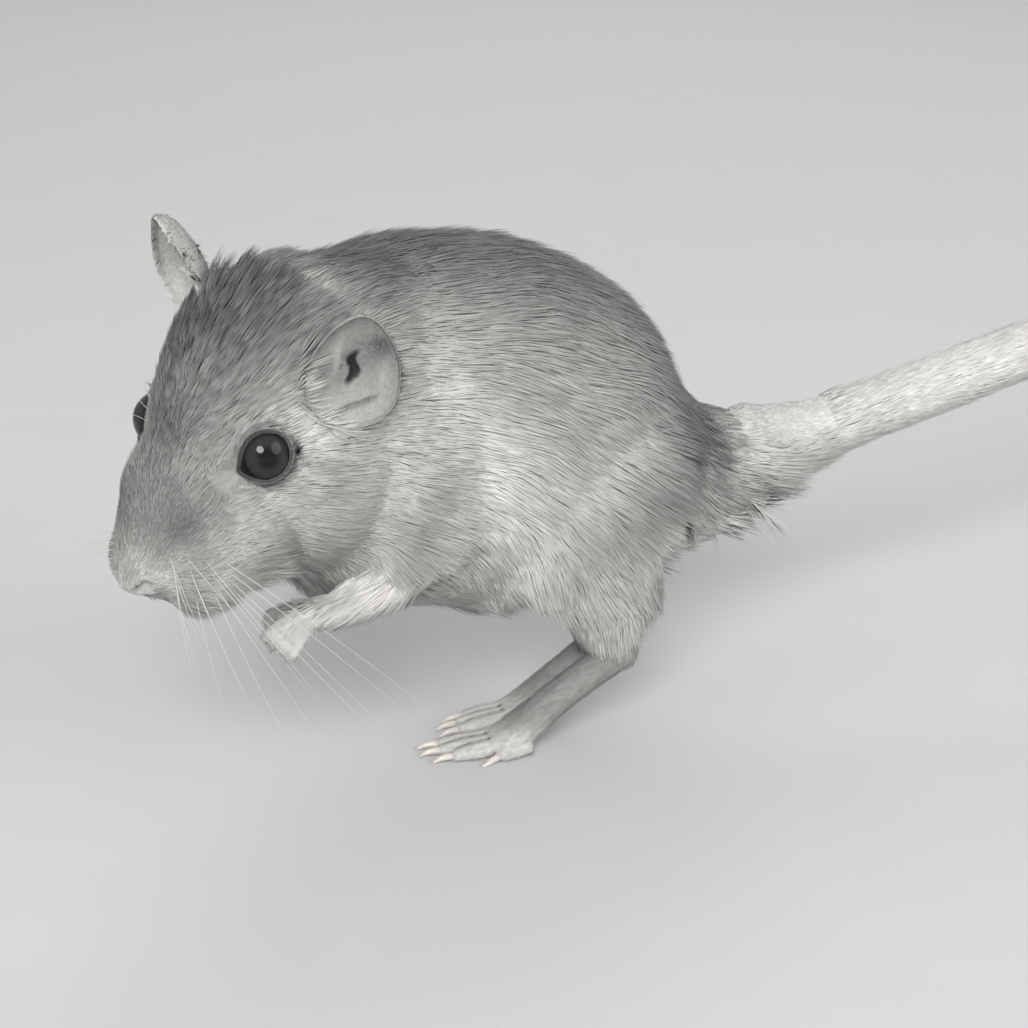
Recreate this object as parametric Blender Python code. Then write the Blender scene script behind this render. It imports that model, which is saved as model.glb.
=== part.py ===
"""A life-size gerbil, leaning forward on its hind feet with its forepaws tucked up.

All named sizes are in millimetres and every mesh is scaled to metres at the end. The animal faces -X,
its tail runs towards +X, +Y is its right side, and the floor is z = 0. At the end the whole animal is
moved along the floor, so that the origin lies under the middle of its bounding box.
"""

import math
import random

import bmesh
import bpy
from mathutils import Matrix, Vector
from mathutils.bvhtree import BVHTree

METRES_PER_MM = 0.001
GAP = 0.3
FLESH_VOXEL = 0.8
FLESH_SMOOTHING = 10
FLESH_TRIANGLES = 5600
SLIVER = 0.004
SEED = 7

LEFT, RIGHT = -1, 1
WORD = {LEFT: "left", RIGHT: "right"}

# The head's own frame: its origin lies between the eyes, forward is along the skull to the nose.
HEAD_ORIGIN = Vector((-34.2, -22.2, 47.5))
HEAD_YAW = math.radians(40)
HEAD_PITCH = math.radians(32)
HEAD_ROLL = math.radians(8)

EYE_RADIUS = 3.4
EYE_PLACE = Vector((-1.0, 6.7, -1.3))
EYE_LOOK = Vector((0.32, 0.80, 0.50))
LID_OPENING = 2.9
LID_THICK = 0.5

EAR_WALL = 0.8
# Root, direction of the tip, direction the cup opens to, then height, width, depth and how pointed the
# tip is. The left ear is laid back against the neck.
EARS = {
    LEFT: ((-8.7, -12.2, -2.2), (-0.58, -0.09, 0.81), (0.46, -0.66, 0.60), 12.6, 10.2, 2.6, 0.04),
    RIGHT: ((-11.8, 7.2, 5.2), (-0.24, 0.20, 0.95), (0.84, 0.30, 0.30), 10.8, 8.6, 3.2, 0.14),
}

FOOT_LENGTH = 27.0
ANKLES = {LEFT: Vector((15.2, -12.4, 12.6)), RIGHT: Vector((18.8, -3.8, 12.6))}
WRISTS = {LEFT: Vector((-22.9, -18.9, 24.4)), RIGHT: Vector((-21.9, -12.6, 21.8))}
# Where each forepaw points, and where its palm faces.
PAWS = {
    LEFT: (Vector((-0.73, -0.17, -0.67)), Vector((0.24, 0.91, -0.34))),
    RIGHT: (Vector((-0.93, 0.12, -0.35)), Vector((0.20, 0.40, -0.88))),
}

TAIL_RADIUS = 4.1
TUFT_LOCKS = 40


def clear_scene():
    for obj in list(bpy.data.objects):
        bpy.data.objects.remove(obj, do_unlink=True)


def material(name, colour, roughness):
    made = bpy.data.materials.new(name)
    made.use_nodes = True
    shader = made.node_tree.nodes["Principled BSDF"]
    shader.inputs["Base Color"].default_value = (*colour, 1.0)
    shader.inputs["Roughness"].default_value = roughness
    shader.inputs["Metallic"].default_value = 0.0
    return made


def link(name, mesh):
    obj = bpy.data.objects.new(name, mesh)
    bpy.context.scene.collection.objects.link(obj)
    return obj


def from_faces(name, points, faces):
    mesh = bpy.data.meshes.new(name)
    mesh.from_pydata([tuple(p) for p in points], [], faces)
    work = bmesh.new()
    work.from_mesh(mesh)
    bmesh.ops.recalc_face_normals(work, faces=work.faces)
    work.to_mesh(mesh)
    work.free()
    return link(name, mesh)


def smooth_path(stations, count):
    """Reads a Catmull-Rom curve through rows of equal length at count even steps."""
    rows = [stations[0], *stations, stations[-1]]
    found = []
    for step in range(count):
        t = step / (count - 1) * (len(stations) - 1)
        k = min(int(t), len(stations) - 2)
        t -= k
        a, b, c, d = rows[k : k + 4]
        found.append(
            tuple(
                0.5
                * (
                    2 * q
                    + (r - p) * t
                    + (2 * p - 5 * q + 4 * r - s) * t**2
                    + (3 * q - p - 3 * r + s) * t**3
                )
                for p, q, r, s in zip(a, b, c, d)
            )
        )
    return found


def loft(name, stations, rings, sides, up=Vector((0, 0, 1))):
    """A closed tube through stations of (x, y, z, half width, reach above, reach below)."""
    path = smooth_path(stations, rings)
    centres = [Vector(row[:3]) for row in path]
    points, faces = [], []
    for i, row in enumerate(path):
        along = (centres[min(i + 1, rings - 1)] - centres[max(i - 1, 0)]).normalized()
        side = along.cross(up).normalized()
        top = side.cross(along)
        width, above, below = row[3:]
        for k in range(sides):
            turn = math.tau * k / sides
            rise = above if math.sin(turn) > 0 else below
            points.append(centres[i] + side * width * math.cos(turn) + top * rise * math.sin(turn))
    for i in range(rings - 1):
        for k in range(sides):
            n = (k + 1) % sides
            a, b = i * sides, (i + 1) * sides
            faces.append((a + k, a + n, b + n, b + k))
    for end, inner in ((0, 1), (rings - 1, rings - 2)):
        outwards = (centres[end] - centres[inner]).normalized()
        points.append(centres[end] + outwards * 0.5 * min(path[end][3:]))
        ring = end * sides
        faces += [(ring + k, ring + (k + 1) % sides, len(points) - 1) for k in range(sides)]
    return from_faces(name, points, faces)


def solid(name, make, matrix):
    work = bmesh.new()
    make(work, matrix)
    mesh = bpy.data.meshes.new(name)
    work.to_mesh(mesh)
    work.free()
    return link(name, mesh)


def ellipsoid(name, centre, radii, turn=None, segments=24):
    turned = (turn or Matrix.Identity(3)).to_4x4()
    place = Matrix.Translation(centre) @ turned @ Matrix.Diagonal((*radii, 1))

    def make(work, matrix):
        rings = segments // 2
        bmesh.ops.create_uvsphere(work, u_segments=segments, v_segments=rings, radius=1, matrix=matrix)

    return solid(name, make, place)


def unit_cube(work, matrix):
    bmesh.ops.create_cube(work, size=1, matrix=matrix)


def half_space(point, outwards, reach=160.0):
    """A large block that fills the side of a plane that outwards points to."""
    turn = outwards.to_track_quat("Z", "Y").to_matrix().to_4x4()
    middle = Matrix.Translation((0, 0, reach / 2))
    place = Matrix.Translation(point) @ turn @ middle @ Matrix.Scale(reach, 4)
    return solid("half space", unit_cube, place)


def block(low, high):
    place = Matrix.Translation((low + high) / 2) @ Matrix.Diagonal((*(high - low), 1))
    return solid("block", unit_cube, place)


def freeze(obj):
    """Replaces an object's mesh by the one its modifiers make."""
    graph = bpy.context.evaluated_depsgraph_get()
    made = bpy.data.meshes.new_from_object(obj.evaluated_get(graph))
    obj.modifiers.clear()
    obj.data = made
    return obj


def copy_of(obj, name):
    return link(name, obj.data.copy())


def grown(obj, by=GAP):
    """A copy of a closed mesh, moved outwards along its normals."""
    larger = copy_of(obj, "grown")
    normals = [vertex.normal.copy() for vertex in larger.data.vertices]
    for vertex, normal in zip(larger.data.vertices, normals):
        vertex.co += normal * by
    return larger


def boolean(obj, others, operation):
    """Applies one Boolean with a collection of closed meshes, and removes them.

    The exact solver loses whole regions of these dense, closely overlapping meshes, so this is the
    manifold one.
    """
    group = bpy.data.collections.new("others")
    bpy.context.scene.collection.children.link(group)
    for other in others:
        group.objects.link(other)
    step = obj.modifiers.new("join", "BOOLEAN")
    step.operation = operation
    step.solver = "MANIFOLD"
    step.operand_type = "COLLECTION"
    step.collection = group
    freeze(obj)
    for other in others:
        bpy.data.objects.remove(other, do_unlink=True)
    bpy.data.collections.remove(group)
    return keep_largest(obj)


def keep_largest(obj):
    """Keeps the closed surface with the largest area, and drops loose scraps."""
    work = bmesh.new()
    work.from_mesh(obj.data)
    bmesh.ops.remove_doubles(work, verts=work.verts, dist=1e-5)
    left = set(work.faces)
    shells = []
    while left:
        shell, front = set(), [left.pop()]
        while front:
            face = front.pop()
            shell.add(face)
            for edge in face.edges:
                for near in edge.link_faces:
                    if near in left:
                        left.discard(near)
                        front.append(near)
        shells.append(shell)
    shells.sort(key=lambda shell: -sum(face.calc_area() for face in shell))
    for shell in shells[1:]:
        bmesh.ops.delete(work, geom=list(shell), context="FACES")
    work.to_mesh(obj.data)
    work.free()
    return obj


def head_frame():
    """Columns are the head's forward, right and up directions."""
    level = Vector((-math.cos(HEAD_YAW), -math.sin(HEAD_YAW), 0))
    forward = level * math.cos(HEAD_PITCH) - Vector((0, 0, math.sin(HEAD_PITCH)))
    up = level * math.sin(HEAD_PITCH) + Vector((0, 0, math.cos(HEAD_PITCH)))
    right = forward.cross(up)
    rolled_right = right * math.cos(HEAD_ROLL) + up * math.sin(HEAD_ROLL)
    rolled_up = up * math.cos(HEAD_ROLL) - right * math.sin(HEAD_ROLL)
    return Matrix((forward, rolled_right, rolled_up)).transposed()


HEAD_TURN = head_frame()


def in_head(ahead, aside, above):
    return HEAD_ORIGIN + HEAD_TURN @ Vector((ahead, aside, above))


def trunk():
    """Back, flanks and belly, from the root of the tail to the back of the head."""
    stations = [
        (38.0, 0.0, 33.0, 4.0, 4.2, 4.4),
        (34.5, 0.0, 32.6, 6.6, 5.2, 8.5),
        (29.0, 0.0, 33.2, 11.0, 8.4, 13.5),
        (21.5, 0.0, 34.6, 16.0, 14.6, 17.5),
        (12.0, -0.3, 37.6, 19.0, 21.0, 21.5),
        (1.0, -1.5, 40.0, 19.6, 24.0, 24.0),
        (-9.0, -4.0, 41.0, 18.6, 24.2, 22.6),
        (-17.0, -8.0, 43.0, 16.5, 23.0, 19.5),
        (-23.5, -13.0, 46.0, 14.0, 19.5, 16.0),
        (-28.5, -16.6, 47.5, 11.0, 15.5, 13.0),
        (-32.0, -19.2, 48.0, 6.5, 9.5, 8.0),
    ]
    return loft("trunk", stations, 40, 32)


def skull():
    """The head from the occiput to the nose, as one loft in the head's own frame."""
    rows = [
        (-17.0, 0.6, 10.8, 11.0, 15.0),
        (-11.0, 0.2, 11.0, 11.4, 17.0),
        (-4.0, -0.6, 9.6, 10.2, 17.0),
        (3.0, -2.2, 8.0, 7.8, 14.6),
        (9.0, -4.6, 6.2, 5.6, 10.6),
        (13.5, -5.8, 4.6, 3.9, 6.4),
        (16.0, -5.8, 2.6, 2.2, 2.8),
    ]
    stations = [
        (*in_head(ahead, 0, above), width, top, low) for ahead, above, width, top, low in rows
    ]
    return loft("skull", stations, 30, 28, up=HEAD_TURN.col[2])


def face_swellings(side):
    """Cheek, whisker pad and brow on one side of the head."""
    return [
        ellipsoid("cheek", in_head(-6.0, side * 6.0, -7.5), (9.0, 6.2, 8.6), HEAD_TURN),
        ellipsoid("pad", in_head(10.0, side * 4.1, -9.2), (5.5, 3.5, 5.0), HEAD_TURN),
        ellipsoid("lower cheek", in_head(2.0, side * 5.0, -8.6), (8.0, 4.2, 6.6), HEAD_TURN),
        ellipsoid("brow", in_head(-1.2, side * 4.9, 3.2), (5.6, 3.0, 3.2), HEAD_TURN),
    ]


def haunch(side):
    """The thigh under its long coat, from the hip past the knee to the ankle."""
    ankle = ANKLES[side]
    stations = [
        (21.5, side * 8.0, 41.0, 7.0, 8.0, 8.0),
        (15.0, side * 11.5, 36.0, 9.2, 13.0, 14.5),
        (ankle.x - 3.0, side * 12.6, 28.0, 8.2, 12.0, 13.0),
        (ankle.x - 0.8, ankle.y * 0.8 + side * 2.2, 20.0, 5.8, 8.0, 7.0),
        (ankle.x + 0.4, ankle.y, 13.2, 2.5, 2.9, 2.7),
    ]
    return loft("haunch", stations, 20, 20, up=Vector((1, 0, 0.4)))


def flesh():
    """Everything that flows together under the coat, as one closed surface."""
    pieces = [trunk(), skull()]
    pieces.append(ellipsoid("chin", in_head(8.8, 0, -13.0), (4.2, 3.2, 2.8), HEAD_TURN))
    pieces.append(ellipsoid("nose", in_head(16.4, 0, -5.4), (1.7, 2.0, 1.5), HEAD_TURN))
    pieces.append(ellipsoid("throat", in_head(-7.5, -0.5, -16.5), (9.5, 8.5, 7.5), HEAD_TURN))
    pieces.append(ellipsoid("nape", Vector((-25.0, -13.0, 56.6)), (9.5, 9.5, 9.4)))
    pieces.append(ellipsoid("neck", Vector((-22.0, -14.5, 44.0)), (11.0, 13.0, 15.0)))
    for side in (LEFT, RIGHT):
        pieces += face_swellings(side)
        pieces.append(ellipsoid("jaw", in_head(1.0, side * 3.2, -13.6), (8.5, 4.4, 5.2), HEAD_TURN))
        pieces.append(haunch(side))
        shoulder = Vector((-10.5, -6.5 + side * 11.0, 36.0))
        pieces.append(ellipsoid("shoulder", shoulder, (8.5, 6.0, 11.0)))
    body = pieces[0]
    work = bmesh.new()
    for piece in pieces:
        work.from_mesh(piece.data)
    work.to_mesh(body.data)
    work.free()
    for piece in pieces[1:]:
        bpy.data.objects.remove(piece, do_unlink=True)
    remesh = body.modifiers.new("remesh", "REMESH")
    remesh.mode = "VOXEL"
    remesh.voxel_size = FLESH_VOXEL
    soften = body.modifiers.new("soften", "SMOOTH")
    soften.factor = 0.5
    soften.iterations = FLESH_SMOOTHING
    freeze(body)
    thin = body.modifiers.new("thin", "DECIMATE")
    body.data.calc_loop_triangles()
    thin.ratio = FLESH_TRIANGLES / len(body.data.loop_triangles)
    thin.use_collapse_triangulate = True
    return keep_largest(freeze(body))


def foreleg(name, side):
    """The forearm from inside the chest to the wrist."""
    if side == LEFT:
        stations = [
            (-10.0, -17.0, 29.5, 3.6, 4.4, 4.2),
            (-14.0, -18.4, 26.6, 3.1, 3.5, 3.3),
            (-18.5, -19.0, 24.8, 2.3, 2.5, 2.4),
        ]
    else:
        stations = [
            (-10.0, -2.0, 28.5, 3.6, 4.4, 4.0),
            (-14.0, -6.0, 25.4, 3.1, 3.4, 3.2),
            (-18.0, -9.8, 23.0, 2.3, 2.4, 2.3),
        ]
    stations.append((*WRISTS[side], 1.6, 1.6, 1.6))
    return loft(name, stations, 11, 12, up=Vector((-0.4, 0, 0.9)))


def tail_stations():
    """The tail's middle line with its radii, thickest where the coat is fullest."""
    r = TAIL_RADIUS
    rows = [
        (36.0, 0.0, 33.0, r + 0.3),
        (48.0, 1.2, 34.6, r),
        (64.0, 4.4, 37.6, r),
        (82.0, 8.4, 41.0, r),
        (104.0, 13.4, 43.6, r),
        (122.0, 17.6, 44.0, r * 0.9),
        (130.0, 19.6, 43.6, r * 0.45),
    ]
    return [(x, y, z, w, w, w) for x, y, z, w in rows]


def lock(root, out, length, width, thick=0.7, droop=0.0):
    """A flat tapered lock of hair, bent a little towards the floor."""
    stations = []
    for t, w in ((0.0, 1.0), (0.35, 1.0), (0.7, 0.7), (1.0, 0.16)):
        point = root + out * length * t - Vector((0, 0, droop * t * t))
        stations.append((*point, width / 2 * w, thick / 2 * w, thick / 2 * w))
    return loft("lock", stations, 4, 4)


def tail():
    """The tail in three lengths, the last one ending in a tuft of longer hair."""
    names = ("tail_base", "tail_middle", "tail_tip")
    cuts = (66.0, 100.0)
    whole = loft("tail", tail_stations(), 26, 14)
    pieces = []
    for i, name in enumerate(names):
        piece = copy_of(whole, name)
        cutters = []
        if i > 0:
            cutters.append(half_space(Vector((cuts[i - 1] + GAP / 2, 0, 0)), Vector((-1, 0, 0))))
        if i < 2:
            cutters.append(half_space(Vector((cuts[i] - GAP / 2, 0, 0)), Vector((1, 0, 0))))
        pieces.append(boolean(piece, cutters, "DIFFERENCE"))
    bpy.data.objects.remove(whole, do_unlink=True)
    chance = random.Random(SEED)
    path = smooth_path(tail_stations(), 60)
    locks = []
    for k in range(TUFT_LOCKS):
        row = 41 + int(17 * k / TUFT_LOCKS)
        centre, after = Vector(path[row][:3]), Vector(path[row + 1][:3])
        along = (after - centre).normalized()
        turn = k * 2.4
        side = along.cross(Vector((0, 0, 1))).normalized()
        spoke = side * math.cos(turn) + side.cross(along) * math.sin(turn)
        root = centre + spoke * path[row][3] * 0.7
        out = (along + spoke * 0.16).normalized()
        locks.append(lock(root, out, chance.uniform(8, 12), chance.uniform(1.4, 2.2), 0.9, 0.8))
    boolean(pieces[2], locks, "UNION")
    return pieces


def eye(name, side):
    place = in_head(EYE_PLACE.x, side * EYE_PLACE.y, EYE_PLACE.z)
    return ellipsoid(name, place, (EYE_RADIUS,) * 3, segments=16)


def lid(side):
    """A rounded rim round the opening of the eye."""
    centre = in_head(EYE_PLACE.x, side * EYE_PLACE.y, EYE_PLACE.z)
    look = (HEAD_TURN @ Vector((EYE_LOOK.x, side * EYE_LOOK.y, EYE_LOOK.z))).normalized()
    ahead = (HEAD_TURN.col[0] - look * look.dot(HEAD_TURN.col[0])).normalized()
    above = look.cross(ahead)
    rise = math.sqrt(EYE_RADIUS**2 - LID_OPENING**2)
    points, faces = [], []
    around, section = 20, 6
    for i in range(around):
        turn = math.tau * i / around
        out = ahead * math.cos(turn) + above * math.sin(turn)
        middle = centre + look * rise + out * (LID_OPENING + LID_THICK * 0.6)
        for k in range(section):
            bend = math.tau * k / section
            points.append(middle + (out * math.cos(bend) + look * math.sin(bend)) * LID_THICK)
    for i in range(around):
        for k in range(section):
            a, b = i * section, (i + 1) % around * section
            n = (k + 1) % section
            faces.append((a + k, a + n, b + n, b + k))
    return from_faces("lid", points, faces)


def ear(name, side):
    """A cupped ear: an outer and an inner bowl joined at the rim."""
    place, tall, opening, height, width, deep, point = EARS[side]
    root = in_head(*place)
    tall = (HEAD_TURN @ Vector(tall)).normalized()
    opening = HEAD_TURN @ Vector(opening)
    opening = (opening - tall * tall.dot(opening)).normalized()
    across = tall.cross(opening)
    rings, sides = 5, 18
    middle = root + tall * height * 0.46
    points, faces = [], []
    for wall in (0.0, EAR_WALL):
        for i in range(1, rings + 1):
            spread = math.sin(i / rings * math.pi / 2)
            depth = (1 - math.cos(i / rings * math.pi / 2)) * (deep - wall) + wall
            for k in range(sides):
                turn = math.tau * k / sides
                top = max(math.sin(turn), 0.0)
                reach = (1 - 0.2 * math.sin(turn)) * (width / 2 - wall) * spread * math.cos(turn)
                rise = (height / 2 - wall) * spread * math.sin(turn) * (1 + point * top**6)
                points.append(middle + opening * (depth - deep * 0.7) + across * reach + tall * rise)
    for shell in (0, 1):
        start = shell * rings * sides
        for i in range(rings - 1):
            for k in range(sides):
                a, b, n = start + i * sides, start + (i + 1) * sides, (k + 1) % sides
                faces.append((a + k, a + n, b + n, b + k))
        points.append(middle + opening * (shell * EAR_WALL - deep * 0.7))
        faces += [(start + k, start + (k + 1) % sides, len(points) - 1) for k in range(sides)]
    outer, inner = (rings - 1) * sides, (2 * rings - 1) * sides
    for k in range(sides):
        n = (k + 1) % sides
        faces.append((outer + k, outer + n, inner + n, inner + k))
    return from_faces(name, points, faces)


def toe(root, knuckle, tip, radius, claw):
    """One digit with its claw, as two closed tubes."""
    digit = [
        (*root, radius, radius, radius),
        (*knuckle, radius * 1.05, radius, radius),
        (*tip, radius * 0.72, radius * 0.7, radius * 0.7),
    ]
    out = (tip - knuckle).normalized()
    nail = [
        (*(tip - out * radius * 0.6), 0.42, 0.5, 0.5),
        (*(tip + out * claw * 0.55 + Vector((0, 0, 0.25))), 0.32, 0.34, 0.34),
        (*(tip + out * claw - Vector((0, 0, 0.25))), 0.1, 0.1, 0.1),
    ]
    return [loft("digit", digit, 5, 7), loft("claw", nail, 4, 5)]


def foot_parts(name, heel, ball, ahead, more):
    """The metatarsus, the heel and the stub of the ankle, each wider by more."""
    middle = heel.lerp(ball, 0.5) + Vector((0, 0, 0.2))
    front = ball + ahead * 2.5 - Vector((0, 0, 0.5))
    top = heel + Vector((-0.2, 0, 2.2 + more))
    shaft = [
        (*heel, 2.3, 2.2, 2.2),
        (*middle, 2.2, 2.0, 2.0),
        (*ball, 3.2, 1.9, 2.2),
        (*front, 2.8, 1.3, 1.8),
    ]
    stub = [(*heel, 2.1, 2.1, 2.1), (*top, 1.9, 1.9, 1.9)]

    def widened(rows):
        return [(*row[:3], *(reach + more for reach in row[3:])) for row in rows]

    return [
        loft(name, widened(shaft), 11, 12),
        loft("ankle", widened(stub), 4, 10, up=Vector((1, 0, 0))),
        ellipsoid("heel", heel, (2.4 + more,) * 3, segments=14),
    ]


def hind_foot(name, side):
    """Metatarsus, five toes and claws, flat where they bear on the floor, and the cutters of its socket."""
    heel = ANKLES[side] + Vector((1.3, 0, -0.6))
    level = math.sqrt(FOOT_LENGTH**2 - heel.z**2)
    ahead = Vector((-1, -0.04 * side, 0)).normalized()
    aside = Vector((0, side, 0))
    ball = heel + ahead * level * 0.58
    ball.z = 1.85
    foot, *others = foot_parts(name, heel, ball, ahead, 0.0)
    toes = ((-2.3, 6.0, 1.8), (-1.5, 10.8, 0), (0.0, 10.8, 0), (1.5, 9.6, 0), (2.6, 6.2, 2.0))
    for place, reach, set_back in toes:
        root = ball + aside * place * 0.8 - ahead * set_back
        root.z = 1.3
        knuckle = root + ahead * reach * 0.5 + aside * place * 0.25
        knuckle.z = 0.9
        tip = root + ahead * (reach - 2.2) + aside * place * 0.4
        tip.z = 0.6
        others += toe(root, knuckle, tip, 1.15, 2.8)
    boolean(foot, others, "UNION")
    for vertex in foot.data.vertices:
        vertex.co.z = max(vertex.co.z, 0.0)
    return foot, foot_parts("socket", heel, ball, ahead, GAP)


def forepaw(name, side):
    """A small hand with four bent fingers that hangs from the wrist."""
    wrist = WRISTS[side]
    ahead, palm = PAWS[side]
    down = (palm - ahead * palm.dot(ahead)).normalized()
    aside = ahead.cross(down).normalized()
    knuckles = wrist + ahead * 3.2
    hand = [
        (*(wrist + ahead * 0.6), 1.5, 1.5, 1.5),
        (*(wrist + ahead * 1.8), 1.9, 1.4, 1.5),
        (*knuckles, 2.2, 1.2, 1.3),
        (*(knuckles + ahead * 0.6 + down * 0.3), 1.8, 0.9, 1.0),
    ]
    paw = loft(name, hand, 9, 12, up=-down)
    digits = []
    for place in (-1.5, -0.5, 0.5, 1.5):
        root = knuckles + aside * place * 0.95
        bend = root + ahead * 1.7 + down * 0.2 + aside * place * 0.2
        tip = bend + down * 1.3 + ahead * 0.7
        digits += toe(root, bend, tip, 0.75, 1.3)
    return boolean(paw, digits, "UNION")


def face_grooves(body):
    """The line of the mouth, the cleft of the upper lip and the two nostrils, as cutters."""
    surface = BVHTree.FromObject(body, bpy.context.evaluated_depsgraph_get())

    def on_surface(ahead, aside, above):
        return surface.find_nearest(in_head(ahead, aside, above))[0]

    corner, bend = (7.0, 5.4, -13.6), (11.0, 3.6, -12.6)
    line = [(x, -y, z) for x, y, z in (corner, bend)] + [(13.8, 0, -12.0), bend, corner]
    lips = [on_surface(*place) for place in line]
    cleft = [on_surface(*place) for place in ((13.8, 0, -12.0), (15.6, 0, -9.8), (17.4, 0, -7.8))]
    cutters = [
        loft("lips", [(*p, 0.4, 0.4, 0.4) for p in lips], 14, 6),
        loft("cleft", [(*p, 0.25, 0.25, 0.25) for p in cleft], 7, 6),
    ]
    for side in (LEFT, RIGHT):
        nostril = on_surface(17.0, side * 2.1, -5.6)
        cutters.append(ellipsoid("nostril", nostril, (0.8, 0.42, 0.5), HEAD_TURN, segments=10))
    return cutters


def fringe():
    """Longer hair under the root of the tail and behind the thighs."""
    chance = random.Random(SEED + 1)
    locks = []
    for k in range(18):
        t = k / 17
        side = -1 if k % 2 else 1
        root = Vector((36.0 - 5 * t, side * chance.uniform(0.4, 2.5 + 4 * t), 29.2 - 4.2 * t))
        out = Vector((0.93, side * 0.10, -0.26 - 0.10 * t)).normalized()
        length, width = chance.uniform(8.0, 10.5), chance.uniform(2.6, 3.4)
        locks.append(lock(root - out * 3.0, out, length, width, 1.6, 0.6))
    return locks


def parted(body):
    """Parts the body into torso, neck, head and hind legs by thin cuts."""
    forward = (HEAD_TURN @ Vector((1.0, 0, 0.16))).normalized()
    behind_ears = in_head(-19.0, 0, 0)
    head = boolean(copy_of(body, "head"), [half_space(behind_ears, -forward)], "DIFFERENCE")
    boolean(body, [half_space(behind_ears - forward * GAP, forward)], "DIFFERENCE")
    shoulder = Vector((-19.0, -10.0, 45.0))
    towards_head = Vector((-0.90, -0.42, 0.10)).normalized()
    neck = boolean(copy_of(body, "neck"), [half_space(shoulder, -towards_head)], "DIFFERENCE")
    boolean(body, [half_space(shoulder - towards_head * GAP, towards_head)], "DIFFERENCE")
    nodes = [head, neck]
    for side in (LEFT, RIGHT):
        edges = sorted((side * 10.0, side * 60.0))
        region = (Vector((-5.0, edges[0], -10.0)), Vector((50.0, edges[1], 41.0)))
        leg = boolean(copy_of(body, f"hind_leg_{WORD[side]}"), [block(*region)], "INTERSECT")
        nodes.append(leg)
        wider = (region[0] - Vector((GAP,) * 3), region[1] + Vector((GAP,) * 3))
        boolean(body, [block(*wider)], "DIFFERENCE")
    body.name = "torso"
    return [body, *nodes]


def finish(obj, slot, colour, roughness):
    """Drops slivers, triangulates, smooths the shading and gives the node its own material."""
    work = bmesh.new()
    work.from_mesh(obj.data)
    if slot == "bare_skin":
        bmesh.ops.dissolve_degenerate(work, dist=SLIVER, edges=work.edges)
    bmesh.ops.triangulate(work, faces=work.faces)
    work.to_mesh(obj.data)
    work.free()
    keep_largest(obj)
    obj.data.materials.clear()
    obj.data.materials.append(material(f"{obj.name}_{slot}", colour, roughness))
    obj.data.shade_smooth()


def settle(objects):
    """Moves the animal over the origin along the floor and scales it to metres."""
    points = [vertex.co for obj in objects for vertex in obj.data.vertices]
    middle = [(min(p[i] for p in points) + max(p[i] for p in points)) / 2 for i in range(2)]
    shift = Vector((round(middle[0], 1), round(middle[1], 1), 0))
    for obj in objects:
        for vertex in obj.data.vertices:
            vertex.co = (vertex.co - shift) * METRES_PER_MM
        obj.data.update()
    print("moved by", tuple(shift))


def main():
    clear_scene()
    body = flesh()
    nodes = {"coat": [], "bare_skin": [], "eye_gloss": []}
    tail_cut = Vector((1, 0, 0.1)).normalized()
    cutters = [half_space(Vector((37.0, 0, 33.0)), tail_cut)]
    lids = []
    for side in (LEFT, RIGHT):
        word = WORD[side]
        eyeball = eye(f"eye_{word}", side)
        pinna = ear(f"ear_{word}", side)
        foot, socket = hind_foot(f"hind_foot_{word}", side)
        arm = foreleg(f"foreleg_{word}", side)
        paw = forepaw(f"forepaw_{word}", side)
        ahead = PAWS[side][0].normalized()
        wrist = WRISTS[side] + ahead * 0.8
        boolean(arm, [half_space(wrist - ahead * GAP, ahead)], "DIFFERENCE")
        boolean(paw, [half_space(wrist, -ahead)], "DIFFERENCE")
        lids.append(lid(side))
        cutters += socket + [grown(piece) for piece in (eyeball, pinna, arm)]
        nodes["eye_gloss"].append(eyeball)
        nodes["bare_skin"] += [pinna, foot, paw]
        nodes["coat"].append(arm)
    boolean(body, lids + fringe(), "UNION")
    cutters += face_grooves(body)
    boolean(body, cutters, "DIFFERENCE")
    lengths = tail()
    behind = half_space(Vector((37.0 + GAP, 0, 33.0)), -tail_cut)
    boolean(lengths[0], [behind], "DIFFERENCE")
    nodes["coat"] += lengths + parted(body)
    looks = {
        "coat": ((0.50, 0.48, 0.45), 0.9),
        "bare_skin": ((0.62, 0.57, 0.53), 0.6),
        "eye_gloss": ((0.012, 0.010, 0.010), 0.12),
    }
    for slot, objects in nodes.items():
        for obj in objects:
            finish(obj, slot, *looks[slot])
    settle([obj for objects in nodes.values() for obj in objects])


main()
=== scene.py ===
# %% [markdown]
# # A gerbil's looks, built over its solid parts
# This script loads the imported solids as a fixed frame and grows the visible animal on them.
# One skin replaces the solids of the flesh. Over it lie fur tufts, whiskers, claws and two eyes.
# Lengths in the cells below are millimetres unless a name says otherwise.

import math

import bmesh
import bpy
import numpy as np
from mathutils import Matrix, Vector
from mathutils.bvhtree import BVHTree
from mathutils.kdtree import KDTree


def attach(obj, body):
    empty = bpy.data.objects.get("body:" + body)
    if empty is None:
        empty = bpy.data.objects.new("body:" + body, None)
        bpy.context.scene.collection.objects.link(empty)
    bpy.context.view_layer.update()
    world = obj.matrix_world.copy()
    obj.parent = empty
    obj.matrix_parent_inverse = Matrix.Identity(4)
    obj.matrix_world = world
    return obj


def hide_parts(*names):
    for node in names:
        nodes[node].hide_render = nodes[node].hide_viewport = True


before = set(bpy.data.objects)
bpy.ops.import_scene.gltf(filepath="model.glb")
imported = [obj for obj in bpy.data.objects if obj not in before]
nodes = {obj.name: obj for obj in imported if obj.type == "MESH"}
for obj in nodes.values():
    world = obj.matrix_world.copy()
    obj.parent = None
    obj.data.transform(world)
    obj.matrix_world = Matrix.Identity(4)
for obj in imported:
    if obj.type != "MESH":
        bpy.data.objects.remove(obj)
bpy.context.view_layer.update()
print("solids:", ", ".join(sorted(nodes)))

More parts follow.
